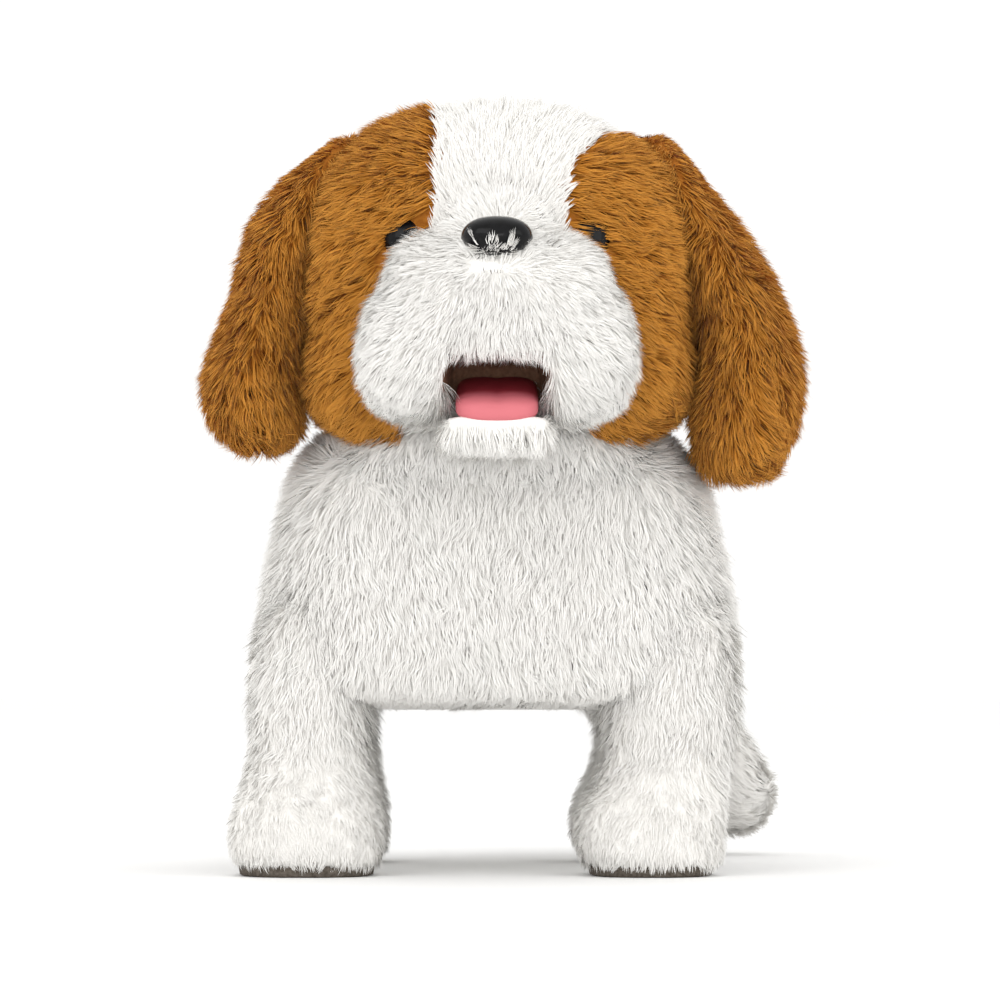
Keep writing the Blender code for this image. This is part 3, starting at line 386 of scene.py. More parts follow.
def grow(name, skin, mat, density, length, width, comb, seed, lean=0.8, keep=None, clump=0.5,
         clump_size=2.6, curl=0.25, segments=3, tousled=0.35, twist=0.14, soft=0.92):
    """A pile on a skin: flat tapering strands that lean along comb, bend further over and gather in tufts.

    density is strands per square millimetre, lean the angle from the skin's normal in radians, clump_size the
    width of a tuft in millimetres, and soft how far the strands are shaded like the skin below them.
    """
    rng = np.random.default_rng(seed)
    skin.data.calc_loop_triangles()
    area = sum(p.area for p in skin.data.polygons)
    places, normals = sampled(skin, int(area * 1e6 * density), rng)
    if keep is not None:
        held = keep(places, normals)
        places, normals = places[held], normals[held]
    count = len(places)
    tousle = waves(places, 750, seed + 1)
    way = (comb(places, normals) + 0.22 * waves(places, 90, seed) + 0.20 * waves(places, 300, seed + 3)
           + tousled * tousle)
    way = unit(way - normals * np.sum(way * normals, axis=1, keepdims=True))
    lean = lean(places) if callable(lean) else np.full(count, lean)
    lean = np.clip(lean + 0.25 * tousle[:, 0] + 0.15 * rng.normal(size=count), 0.1, 1.4)[:, None]
    first = unit(normals * np.cos(lean) + way * np.sin(lean) + 0.10 * rng.normal(size=(count, 3)))
    size = length(places) if callable(length) else length
    size = (size * rng.uniform(0.72, 1.12, count) * (1 + 0.12 * waves(places, 200, seed + 2)[:, 0]))[:, None]
    steps = np.linspace(0, 1, segments + 1)
    bend = way * curl - normals * curl * 0.35 + np.cross(normals, way) * (0.20 * rng.normal(size=(count, 1)))
    root = places - normals * 0.0006
    line = [root + size * (first * t + bend * t * t) for t in steps]
    # tufts: tips lean towards the middle strand of their tuft
    leaders = rng.choice(count, size=max(int(count / (density * clump_size ** 2)), 1), replace=False)
    mine = leaders[nearest(places, places[leaders])]
    for k, t in enumerate(steps):
        line[k] = line[k] + (line[k][mine] - line[k]) * (clump * t ** 1.4)
    side = unit(np.cross(first, normals + twist * rng.normal(size=(count, 3))))
    own = rng.random(count)
    taper = width * np.array([1.0, 0.92, 0.62, 0.0]) if segments == 3 else width * np.array([1.0, 0.75, 0.0])
    per = 2 * segments + 1
    verts = np.empty((count, per, 3))
    uvs = np.empty((count, per, 2))
    fat = rng.uniform(0.75, 1.25, (count, 1))
    for k in range(segments):
        half = side * fat * taper[k] / 2
        verts[:, 2 * k], verts[:, 2 * k + 1] = line[k] - half, line[k] + half
        uvs[:, 2 * k, 0], uvs[:, 2 * k + 1, 0] = own - 0.0005, own + 0.0005
        uvs[:, 2 * k, 1] = uvs[:, 2 * k + 1, 1] = steps[k]
    verts[:, -1], uvs[:, -1, 0], uvs[:, -1, 1] = line[-1], own, 1.0
    quads = [[2 * k, 2 * k + 1, 2 * k + 3, 2 * k + 2] for k in range(segments - 1)]
    loops = [i for q in quads for i in q] + [per - 3, per - 2, per - 1]
    starts = [4 * k for k in range(segments)]
    lengths = [4] * (segments - 1) + [3]
    base = np.arange(count)[:, None]
    loop_verts = (base * per + np.array(loops)).ravel()
    mesh = bpy.data.meshes.new(name)
    mesh.vertices.add(count * per)
    mesh.vertices.foreach_set("co", verts.ravel())
    mesh.loops.add(len(loop_verts))
    mesh.loops.foreach_set("vertex_index", loop_verts.astype(np.int32))
    mesh.polygons.add(count * segments)
    mesh.polygons.foreach_set("loop_start", (base * len(loops) + np.array(starts)).ravel().astype(np.int32))
    mesh.polygons.foreach_set("loop_total", np.tile(lengths, count).astype(np.int32))
    layer = mesh.uv_layers.new(name=UV_NAME)
    layer.data.foreach_set("uv", np.clip(uvs.reshape(-1, 2)[loop_verts], 0.0, 1.0).ravel())
    mesh.update()
    mesh.shade_smooth()
    flat = np.cross(side, first)
    shading = unit(soft * normals + (1 - soft) * flat + 0.04 * rng.normal(size=(count, 3)))
    mesh.normals_split_custom_set_from_vertices(np.repeat(shading, per, axis=0))
    mesh.materials.append(mat)
    ob = bpy.data.objects.new(name, mesh)
    parts.objects.link(ob)
    return ob


def steady(x, y, z):
    """The same comb everywhere."""
    return lambda p, n: np.tile(np.array([x, y, z], float), (len(p), 1))


# --- colours ------------------------------------------------------------------------------------
# painted shade: each pile darkens from tip to root for the shade between the strands, and the brown tip takes the
# tone of the fur's lit highlights
WHITE_PILE = pile_material("white_pile", (0.860, 0.843, 0.810), (0.880, 0.866, 0.836),
                           (0.890, 0.878, 0.852), 0.98)
BROWN_PILE = pile_material("brown_pile", (0.32, 0.105, 0.011), (0.53, 0.210, 0.028),
                           (0.70, 0.32, 0.060), 0.80)
# partly painted shade: the white and brown backings are a little darker than their pile, so the gaps between
# strands read as shaded
WHITE_BACK = backing_material("white_backing", (0.82, 0.805, 0.77), (0.90, 0.885, 0.86))
BROWN_BACK = backing_material("brown_backing", (0.25, 0.080, 0.010), (0.36, 0.130, 0.018))
MOUTH_CLOTH = backing_material("mouth_cloth", (0.20, 0.105, 0.065), (0.30, 0.165, 0.105))
SOLE = backing_material("sole_cloth", (0.075, 0.062, 0.050), (0.150, 0.130, 0.110))
TONGUE = tongue_material()
GLOSS_BLACK = grained("black_gloss", (0.003, 0.003, 0.003), (0.007, 0.007, 0.008), 260, 0.16, grain=0.05,
                      depth=0.00002, specular=0.16)


# --- torso --------------------------------------------------------------------------------------
BELLY_Z = 0.0458
SIDE_TAPER = ((0.045, 1.01), (0.064, 1.0), (0.085, 0.945), (0.107, 0.865), (0.118, 0.83), (0.124, 0.81))


def head_seat(p, grow_by):
    """Points inside the head's outline go out to it, which leaves the seat the head lies in."""
    q = (p - HEAD_C) / ((HEAD_R + grow_by) * [1.1, 1, 1])
    reach = np.sum(np.abs(q) ** HEAD_POWER, axis=1) ** (1 / HEAD_POWER)
    inside = reach < 1
    out = p.copy()
    out[inside] = HEAD_C + (p[inside] - HEAD_C) / np.maximum(reach[inside, None], 0.2)
    return out


def make_torso():
    """The body's skin with the opening for the battery cover, its pile in three parts, and the belly's hem."""
    sections = eased([  # y, half width, low z, high z
        (-0.0668, 0.0100, 0.0660, 0.0960), (-0.0658, 0.0290, 0.0575, 0.1060),
        (-0.0635, 0.0430, 0.0520, 0.1130), (-0.0570, 0.0550, 0.0480, 0.1180),
        (-0.0450, 0.0625, BELLY_Z, 0.1212), (-0.0200, 0.0645, BELLY_Z, 0.1215),
        (0.0100, 0.0645, BELLY_Z, 0.1200), (0.0400, 0.0640, BELLY_Z, 0.1180),
        (0.0560, 0.0590, 0.0480, 0.1135), (0.0650, 0.0480, 0.0520, 0.1060),
        (0.0695, 0.0330, 0.0570, 0.0965), (0.0712, 0.0120, 0.0680, 0.0850)], 5)
    rings = []
    for y, half, z0, z1 in sections:
        power = 4.6 - 1.5 * min(max(y / 0.06, 0.0), 1.0)
        ring = superellipse((0, y, (z0 + z1) / 2), (half, (z1 - z0) / 2), power, 64, (1, 0, 0), (0, 0, 1))
        for p in ring:
            p.x *= np.interp(p.z, *zip(*SIDE_TAPER))
        rings.append(ring)
    skin = add_mesh("torso_skin", loft(rings), WHITE_BACK)
    bm = bmesh.new()
    bm.from_mesh(skin.data)
    long_edges = [e for e in bm.edges if e.calc_length() > 0.006]
    bmesh.ops.subdivide_edges(bm, edges=long_edges, cuts=1, use_grid_fill=True)
    for place, axis in ((-HATCH_HALF, 0), (HATCH_HALF, 0), (HATCH_FRONT, 1), (HATCH_BACK, 1)):
        normal = Vector((1, 0, 0)) if axis == 0 else Vector((0, 1, 0))
        everything = bm.verts[:] + bm.edges[:] + bm.faces[:]
        bmesh.ops.bisect_plane(bm, geom=everything, plane_co=normal * place, plane_no=normal)
    middles = {f: f.calc_center_median() for f in bm.faces}
    gone = [f for f, c in middles.items()
            if c.z < 0.0485 and abs(c.x) < HATCH_HALF and HATCH_FRONT < c.y < HATCH_BACK]
    bmesh.ops.delete(bm, geom=gone, context="FACES")
    bm.to_mesh(skin.data)
    bm.free()
    skin.data.shade_smooth()
    moved(skin, lambda p: head_seat(p, 0.0018) + 0.0006 * waves(p, 60, 5))
    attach(skin, "body")
    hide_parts("body_plush")

    def comb(p, n):
        down = np.tile([0.0, 0.15, -1.0], (len(p), 1))
        back = np.tile([0.0, 1.0, -0.25], (len(p), 1))
        top = np.clip((n[:, 2:3] - 0.10) * 1.2, 0, 1)
        return down * (1 - top) + back * top + 0.25 * waves(p, 45, 11)

    def bare(p):
        opening = ((np.abs(p[:, 0]) < HATCH_HALF + 0.0006) & (p[:, 1] > HATCH_FRONT - 0.0006)
                   & (p[:, 1] < HATCH_BACK + 0.0006) & (p[:, 2] < 0.050))
        q = (p - HEAD_C) / (HEAD_R + 0.0026)
        seat = np.sum(np.abs(q) ** HEAD_POWER, axis=1) < 1
        return opening | seat

    def size(p):
        belly = np.clip((p[:, 2] - 0.0475) / 0.010, 0, 1)
        return 0.0030 + 0.0042 * belly

    def stand(p):
        front = np.clip((0.000 - p[:, 1]) / 0.020, 0, 1)
        collar = front * np.clip((p[:, 2] - 0.104) / 0.010, 0, 1)
        back = (1 - front) * np.clip((p[:, 2] - 0.098) / 0.012, 0, 1)
        return 0.85 - 0.35 * collar + 0.50 * back

    for k, (low, high) in enumerate(((-0.2, -0.030), (-0.030, 0.020), (0.020, 0.2))):
        pile = grow(f"torso_pile_{k + 1}", skin, WHITE_PILE, 2.5, size, 0.00036, comb, 20 + k,
                    lean=stand, keep=lambda p, n: ~bare(p) & (p[:, 1] > low) & (p[:, 1] <= high), clump=0.42,
                    clump_size=2.8, segments=2 if k else 3)
        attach(pile, "body")
    make_neck()

    hem = []
    for a in np.linspace(0, 2 * pi, 72, endpoint=False):
        c, s = cos(a), sin(a)
        reach = (abs(c) ** 9 + abs(s) ** 9) ** (-1 / 9)
        hem.append(Vector((0.0296 * c * reach, 0.0070 + 0.0406 * s * reach, 0.0456)))
    welt = hoop("belly_hem", hem, 0.0010, WHITE_BACK)
    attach(welt, "body")


def make_neck():
    """The collar of pile that closes the gap between head and torso."""
    sections = eased([  # z, half width, front y, back y
        (0.1020, 0.0500, -0.0640, -0.0100), (0.1100, 0.0460, -0.0690, -0.0080),
        (0.1170, 0.0400, -0.0715, -0.0080), (0.1225, 0.0310, -0.0720, -0.0120)], 4)
    rings = [superellipse((0, (y0 + y1) / 2, z), (half, (y1 - y0) / 2), 2.6, 56, (1, 0, 0), (0, 1, 0))
             for z, half, y0, y1 in sections]
    skin = add_mesh("neck_skin", loft(rings), WHITE_BACK)

    def comb(p, n):
        return np.stack([0.4 * n[:, 0], 0.4 * n[:, 1], -1.0 + 0 * n[:, 0]], axis=1)

    pile = grow("neck_pile", skin, WHITE_PILE, 2.6, 0.0068, 0.00036, comb, 27, lean=0.6,
                keep=lambda p, n: (p[:, 2] > 0.108) & (np.abs(n[:, 2]) < 0.8), clump=0.42, clump_size=2.6)
    for ob in (skin, pile):
        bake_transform(ob)


def hoop(name, path, radius, mat, sides=8):
    """A round cord that follows a closed path."""
    bm = bmesh.new()
    rows = []
    n = len(path)
    for i, p in enumerate(path):
        before, after = path[(i - 1) % n], path[(i + 1) % n]
        along = (after - before).normalized()
        side = along.cross(Vector((0, 0, 1))).normalized()
        up = side.cross(along)
        turns = [2 * pi * k / sides for k in range(sides)]
        rows.append([bm.verts.new(p + (side * cos(a) + up * sin(a)) * radius) for a in turns])
    for a, b in zip(rows, rows[1:] + rows[:1]):
        for k in range(sides):
            bm.faces.new((a[k], a[(k + 1) % sides], b[(k + 1) % sides], b[k]))
    return add_mesh(name, bm, mat)


# --- legs ---------------------------------------------------------------------------------------
LEFT_LEG = [  # z, centre x, half width, front y, back y, from the hip
    (0.0030, -0.0515, 0.0180, -0.0205, 0.0140), (0.0050, -0.0518, 0.0196, -0.0228, 0.0158),
    (0.0100, -0.0520, 0.0202, -0.0240, 0.0165), (0.0180, -0.0517, 0.0192, -0.0235, 0.0162),
    (0.0260, -0.0512, 0.0168, -0.0200, 0.0155), (0.0350, -0.0508, 0.0152, -0.0170, 0.0150),
    (0.0450, -0.0508, 0.0152, -0.0165, 0.0155), (0.0600, -0.0510, 0.0142, -0.0175, 0.0175),
    (0.0710, -0.0500, 0.0115, -0.0150, 0.0150), (0.0780, -0.0490, 0.0070, -0.0080, 0.0080)]
RIGHT_LEG = [
    (0.0030, 0.0415, 0.0165, -0.0205, 0.0140), (0.0050, 0.0415, 0.0186, -0.0228, 0.0158),
    (0.0100, 0.0412, 0.0198, -0.0240, 0.0165), (0.0180, 0.0420, 0.0190, -0.0235, 0.0162),
    (0.0260, 0.0445, 0.0172, -0.0195, 0.0152), (0.0350, 0.0462, 0.0168, -0.0165, 0.0148),
    (0.0450, 0.0468, 0.0172, -0.0162, 0.0155), (0.0600, 0.0480, 0.0160, -0.0175, 0.0175),
    (0.0710, 0.0490, 0.0120, -0.0150, 0.0150), (0.0780, 0.0490, 0.0070, -0.0080, 0.0080)]


def make_leg(name, side, hip_y, seed):
    """A leg's skin and pile, which reach up into the body at the hip, and the dark pad below it."""
    sections = eased(LEFT_LEG if side < 0 else RIGHT_LEG, 4)
    rings = [superellipse((cx, hip_y + (y0 + y1) / 2, z), (half, (y1 - y0) / 2), 2.35, 44, (1, 0, 0), (0, 1, 0))
             for z, cx, half, y0, y1 in sections]
    body = f"leg_{name}"
    skin = add_mesh(f"leg_skin_{name}", loft(rings), WHITE_BACK)
    moved(skin, lambda p: p + 0.0005 * waves(p, 80, seed))
    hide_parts(f"leg_plush_{name}")

    def comb(p, n):
        return np.tile([0.0, -0.05, -1.0], (len(p), 1)) + 0.3 * waves(p, 60, seed + 3)

    def size(p):
        return 0.0034 + 0.0026 * np.clip((p[:, 2] - 0.012) / 0.04, 0, 1)

    pile = grow(f"leg_pile_{name}", skin, WHITE_PILE, 2.5, size, 0.00034, comb, seed, lean=0.85,
                keep=lambda p, n: (p[:, 2] > 0.0031) & (p[:, 2] < 0.0775), clump=0.38, clump_size=2.4,
                segments=3 if hip_y < 0 else 2)
    for ob in (skin, pile):
        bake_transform(ob)

    _, middle, half, front, back = sections[0]
    rings = []
    for z, grow_by in ((0.0, -0.0012), (0.0004, 0.0), (0.0026, 0.0004), (0.0034, -0.0006)):
        reach = (half + grow_by, (back - front) / 2 + grow_by)
        rings.append(superellipse((middle, hip_y + (front + back) / 2, z), reach, 2.35, 48, (1, 0, 0), (0, 1, 0)))
    sole = add_mesh(f"sole_pad_{name}", loft(rings), SOLE)
    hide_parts(f"sole_{name}")
    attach(sole, body)


# --- head ---------------------------------------------------------------------------------------
RIGHT_EDGE = (  # z, distance of the patch's inner edge from the middle
    (0.100, 0.0240), (0.118, 0.0240), (0.140, 0.0215), (0.160, 0.0180), (0.173, 0.0168), (0.183, 0.0175),
    (0.190, 0.0200), (0.197, 0.0262), (0.204, 0.0350), (0.215, 0.0450))
LEFT_EDGE = (
    (0.100, 0.0240), (0.118, 0.0240), (0.140, 0.0215), (0.160, 0.0175), (0.178, 0.0152), (0.200, 0.0155),
    (0.215, 0.0140))


def is_brown(p):
    """Where the side patches lie on the head."""
    z = p[:, 2] + 0.0012 * np.sin(p[:, 0] * 900) + 0.0010 * np.sin(p[:, 1] * 700)
    right = np.interp(z, *zip(*RIGHT_EDGE))
    left = np.interp(z, *zip(*LEFT_EDGE))
    inner = np.where(p[:, 0] > 0, p[:, 0] > right, -p[:, 0] > left)
    return inner & (p[:, 1] < -0.0270 + 0.0015 * np.sin(p[:, 2] * 400))


def eye_slit(p):
    """Distance from the parting in the pile that an eye looks through, seen from the front."""
    side = np.where(p[:, 0] < 0, -1.0, 1.0)
    start = np.stack([0.0170 * side, np.full(len(p), 0.1755)], axis=1)
    along = np.stack([0.0122 * side, np.full(len(p), -0.0108)], axis=1)
    q = p[:, [0, 2]]
    t = np.clip(np.sum((q - start) * along, axis=1) / np.sum(along * along, axis=1), 0, 1)[:, None]
    return np.linalg.norm(q - start - along * t, axis=1)


def behind_mouth(p):
    """The front of the head goes back where the mouth is."""
    q = p.copy()
    mouth = (np.abs(p[:, 0]) < 0.0165) & (p[:, 2] < 0.1430) & (p[:, 1] < -0.0740)
    q[mouth, 1] = -0.0740
    return q


def make_head():
    """The head's skin with its brown patches, their piles, and the face."""
    bm = bmesh.new()
    ball(bm, HEAD_C, HEAD_R, HEAD_POWER, 72, 48)
    skin = add_mesh("head_skin", bm, WHITE_BACK)

    def shaped(p):
        q = p.copy()
        for side in (-1, 1):
            for centre, size, push in (((EYE_C[0], EYE_C[1], EYE_C[2]), (0.013, 0.02, 0.011), 0.0035),
                                       ((0.040, -0.080, 0.132), (0.018, 0.02, 0.018), -0.0030),
                                       ((0.034, -0.085, 0.188), (0.014, 0.02, 0.010), -0.0022)):
                away = np.linalg.norm((p - np.array(centre) * [side, 1, 1]) / size, axis=1)
                q[:, 1] += push * np.exp(-away ** 2)
        low = np.clip((0.150 - p[:, 2]) / 0.030, 0, 1)
        low = low * low * (3 - 2 * low)
        q[:, 0] *= 1 + 0.34 * low
        q[:, 2] -= 0.0032 * low * np.clip(np.abs(q[:, 0]) / 0.035, 0, 1) ** 2
        return q + 0.0005 * waves(p, 70, 8)

    moved(skin, shaped)
    moved(skin, behind_mouth)
    skin.data.materials.append(BROWN_BACK)
    mid = np.array([f.center for f in skin.data.polygons])
    brown = is_brown(mid)
    skin.data.polygons.foreach_set("material_index", brown.astype(np.int32))
    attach(skin, "head")
    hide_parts("head_plush", "face_patch_left", "face_patch_right")

    def hidden(p):
        m = (p - np.array([0.0, -0.092, 0.146])) / np.array([0.030, 0.030, 0.026])
        return np.sum(m ** 2, axis=1) < 1

    def eyes(p):
        return (eye_slit(p) < np.where(p[:, 0] > 0, 0.0013, 0.0020)) & (p[:, 1] < -0.07)

    def white_comb(p, n):
        up = np.stack([45.0 * p[:, 0], np.full(len(p), 0.6), np.full(len(p), 1.0)], axis=1)
        behind = np.clip((p[:, 1:2] + 0.055) / 0.03, 0, 1)
        down = np.tile([0.0, 0.1, -1.0], (len(p), 1))
        return up * (1 - behind) + down * behind + 0.25 * waves(p, 50, 31)

    def white_lean(p):
        top = np.clip((p[:, 2] - 0.185) / 0.01, 0, 1)
        return 0.75 + 0.5 * np.clip((p[:, 1] + 0.060) / 0.020, 0, 1) * top

    pile = grow("head_pile_white", skin, WHITE_PILE, 2.8, 0.0055, 0.00034, white_comb, 40,
                lean=white_lean, keep=lambda p, n: ~is_brown(p) & ~hidden(p) & (p[:, 2] > 0.1205), clump=0.38,
                clump_size=2.2)
    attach(pile, "head")

    def brown_comb(p, n):
        out = np.stack([np.sign(p[:, 0]) * 1.0, 0.25 + 0 * p[:, 0], -0.55 - 6.0 * (0.165 - p[:, 2])], axis=1)
        return out + 0.30 * waves(p, 60, 33)

    for side, name in ((-1, "left"), (1, "right")):
        pile = grow(f"patch_pile_{name}", skin, BROWN_PILE, 4.0, 0.0072, 0.00030, brown_comb,
                    44 + side, lean=0.72, keep=lambda p, n: is_brown(p) & ~hidden(p) & ~eyes(p)
                    & (p[:, 0] * side > 0) & (p[:, 2] > 0.1165), clump=0.5, clump_size=2.2, twist=0.6, soft=0.6)
        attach(pile, "head")

    make_muzzle()
    make_face()


def make_muzzle():
    """The white muzzle: rounded lobes melted into one skin, with the mouth cut out of it."""
    bm = bmesh.new()
    for side in (-1, 1):
        ball(bm, (side * 0.0190, -0.0890, 0.1405), (0.0158, 0.0205, 0.0172), 2.6)
        ball(bm, (side * 0.0130, -0.0910, 0.1530), (0.0165, 0.0205, 0.0165), 2.3)
    ball(bm, (0, -0.0930, 0.1585), (0.0170, 0.0195, 0.0150), 2.3)
    ball(bm, (0, -0.0905, 0.1460), (0.0110, 0.0175, 0.0125), 2.3)
    ball(bm, (0, -0.0850, 0.1700), (0.0150, 0.0180, 0.0120), 2.2)
    ball(bm, (0, -0.0790, 0.1790), (0.0160, 0.0150, 0.0125), 2.2)
    skin = add_mesh("muzzle_skin", bm, WHITE_BACK)
    modified(skin, ("REMESH", {"mode": "VOXEL", "voxel_size": 0.0014}),
             ("SMOOTH", {"factor": 0.8, "iterations": 14}))
    bm = bmesh.new()
    ball(bm, (0, -0.1000, 0.1270), (0.0142, 0.0350, 0.0118), 5.0, 32, 20)
    gap = add_mesh("mouth_gap", bm, WHITE_BACK)
    modified(skin, ("BOOLEAN", {"operation": "DIFFERENCE", "object": gap, "solver": "EXACT"}),
             ("REMESH", {"mode": "VOXEL", "voxel_size": 0.0012}), ("SMOOTH", {"factor": 0.6, "iterations": 5}))
    bpy.data.objects.remove(gap, do_unlink=True)
    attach(skin, "head")
    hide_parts("muzzle_plush")

    def under_nose(p):
        return np.exp(-(p[:, 0] / 0.0078) ** 4 - ((p[:, 2] - 0.1612) / 0.0024) ** 2)

    def comb(p, n):
        away = p - (NOSE_C + [0, 0.004, -0.002])
        away[:, 1] = 0.25 * np.abs(away[:, 1])
        away = unit(away)
        away[:, 2] -= 0.25
        lip = under_nose(p)[:, None]
        return away * (1 - lip) + np.array([0.0, -0.4, 1.6]) * lip + 0.18 * waves(p, 70, 51)

    def keep(p, n):
        head = (p - HEAD_C) / (HEAD_R - 0.001)
        inside = np.sum(np.abs(head) ** HEAD_POWER, axis=1) < 1
        nose = (p - NOSE_C) / np.array([0.0084, 0.012, 0.0052])
        hidden = (np.sum(nose ** 2, axis=1) < 1) & (p[:, 2] > NOSE_C[2] - 0.0030)
        mouth = (np.abs(p[:, 0]) < 0.0142) & (p[:, 2] < 0.1386) & (n[:, 1] > -0.55)
        return ~inside & ~hidden & ~mouth & (eye_slit(p) > np.where(p[:, 0] > 0, 0.0009, 0.0016))

    def size(p):
        rim = np.clip((0.150 - p[:, 2]) / 0.02, 0, 1)
        small = np.clip(np.abs(p[:, 0]) / 0.012, 0, 1)
        return 0.0048 + 0.0022 * rim * (0.4 + 0.6 * small) + 0.0022 * under_nose(p)

    pile = grow("muzzle_pile", skin, WHITE_PILE, 5.0, size, 0.00031, comb, 52, lean=0.72,
                keep=keep, clump=0.42, clump_size=2.0)
    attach(pile, "head")
    make_lining()


def make_lining():
    """The mouth's cloth pocket: an arch from one corner over the top to the other, closed at the back."""
    arch = [(0.0146, 0.1215), (0.0144, 0.1270), (0.0141, 0.1330), (0.0134, 0.1362), (0.0117, 0.1376),
            (0.0085, 0.1380), (0.0040, 0.1376)]
    floor_z = 0.130
    outline = arch + [(-x, z) for x, z in arch[::-1]]
    bm = bmesh.new()
    rows = []
    for y, narrow, low in ((-0.0995, 1.01, 0.0), (-0.0970, 1.0, 0.0), (-0.0920, 0.97, 0.0),
                           (-0.0850, 0.94, 0.0008), (-0.0790, 0.88, 0.0025), (-0.0765, 0.78, 0.0042),
                           (-0.0762, 0.40, 0.0048)):
        shrink = 0.5 + narrow / 2
        rows.append([bm.verts.new((x * narrow, y, floor_z + (z - floor_z) * shrink + low * (z < floor_z)))
                     for x, z in outline])
    for a, b in zip(rows, rows[1:]):
        for k in range(len(outline) - 1):
            bm.faces.new((a[k], a[k + 1], b[k + 1], b[k]))
    for k in range(len(outline) // 2 - 1):
        mirror = len(outline) - 1 - k
        bm.faces.new((rows[-1][k], rows[-1][k + 1], rows[-1][mirror - 1], rows[-1][mirror]))
    lining = add_mesh("mouth_pocket", bm, MOUTH_CLOTH)
    modified(lining, ("SOLIDIFY", {"thickness": 0.0007, "offset": 0.0}), ("SUBSURF", {"levels": 2}))
    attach(lining, "head")
    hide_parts("mouth_lining")


def make_face():
    """The two eyes deep in the pile, and the nose with ragged fur over its lower edge."""
    for side, name in ((-1, "left"), (1, "right")):
        bm = bmesh.new()
        centre = EYE_C * [side, 1, 1]
        ball(bm, centre, (EYE_R, EYE_R * 0.85, EYE_R), 2.0, 32, 20)
        eye = add_mesh(f"eye_bead_{name}", bm, GLOSS_BLACK)
        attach(eye, "head")
        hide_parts(f"eye_{name}")
    bm = bmesh.new()
    ball(bm, NOSE_C, (0.0093, 0.0072, 0.0058), 2.3, 40, 26)
    for v in bm.verts:
        down = max((NOSE_C[2] - v.co.z) / 0.0058, 0.0)
        v.co.x *= 1 - 0.26 * down
        v.co.z += 0.0010 * down
        v.co.y += 0.0010 * np.exp(-(v.co.x / 0.0012) ** 2) * down
        for side in (-1, 1):
            nostril = ((v.co.x - side * 0.0046) / 0.0019) ** 2 + ((v.co.z - NOSE_C[2] + 0.0016) / 0.0012) ** 2
            if v.co.y < NOSE_C[1]:
                v.co.y += 0.0016 * np.exp(-nostril)
    nose = add_mesh("nose_button", bm, GLOSS_BLACK)
    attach(nose, "head")
    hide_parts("nose")

    def lower_edge(p, n):
        return (p[:, 2] < NOSE_C[2] - 0.0028 - 0.0012 * np.sin(p[:, 0] * 1500)) & (p[:, 1] < NOSE_C[1] + 0.001)

    tufts = grow("nose_tufts", nose, WHITE_PILE, 4.5, 0.0040, 0.00026, steady(0, -0.15, 1), 58,
                 lean=1.25, keep=lower_edge, clump=0.6, clump_size=1.5, tousled=0.6)
    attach(tufts, "head")


# --- jaw, tongue --------------------------------------------------------------------------------
def make_jaw():
    """The furry chin and the tongue on it."""
    sections = eased([  # y, half width, low z, high z
        (-0.1082, 0.0060, 0.1175, 0.1198), (-0.1070, 0.0110, 0.1165, 0.1210), (-0.1042, 0.0134, 0.1158, 0.1214),
        (-0.0980, 0.0138, 0.1153, 0.1214), (-0.0880, 0.0138, 0.1150, 0.1214), (-0.0790, 0.0132, 0.1150, 0.1208),
        (-0.0750, 0.0090, 0.1155, 0.1185)], 3)
    rings = [superellipse((0, y, (z0 + z1) / 2), (half, (z1 - z0) / 2), 3.6, 40, (1, 0, 0), (0, 0, 1))
             for y, half, z0, z1 in sections]
    skin = add_mesh("chin_skin", loft(rings), WHITE_BACK)
    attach(skin, "jaw")
    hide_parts("jaw_plush")

    def size(p):
        return 0.0030 + 0.0042 * np.clip((0.1200 - p[:, 2]) / 0.0025, 0, 1)

    pile = grow("chin_pile", skin, WHITE_PILE, 4.2, size, 0.00032, steady(0, 0.1, -1), 60,
                lean=0.9, keep=lambda p, n: (n[:, 2] < 0.35) | (np.abs(p[:, 0]) > 0.0118), clump=0.4,
                clump_size=2.0)
    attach(pile, "jaw")

    rows = eased([  # y, half width, middle z, half thickness
        (-0.1090, 0.0035, 0.1218, 0.0010), (-0.1080, 0.0080, 0.1222, 0.0024), (-0.1045, 0.0104, 0.1228, 0.0034),
        (-0.0980, 0.0108, 0.1240, 0.0036), (-0.0900, 0.0108, 0.1262, 0.0038), (-0.0820, 0.0104, 0.1290, 0.0036),
        (-0.0770, 0.0092, 0.1306, 0.0026)], 4)
    rings = []
    for y, half, z, thick in rows:
        ring = superellipse((0, y, z), (half, thick), 2.5, 40, (1, 0, 0), (0, 0, 1))
        for p in ring:
            if p.z > z:
                p.z += 0.0010 * (p.x / 0.011) ** 2 - 0.0003 * np.exp(-(p.x / 0.0016) ** 2)
        rings.append(ring)
    tongue = add_mesh("tongue_felt", loft(rings), TONGUE)
    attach(tongue, "jaw")
    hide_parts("tongue")


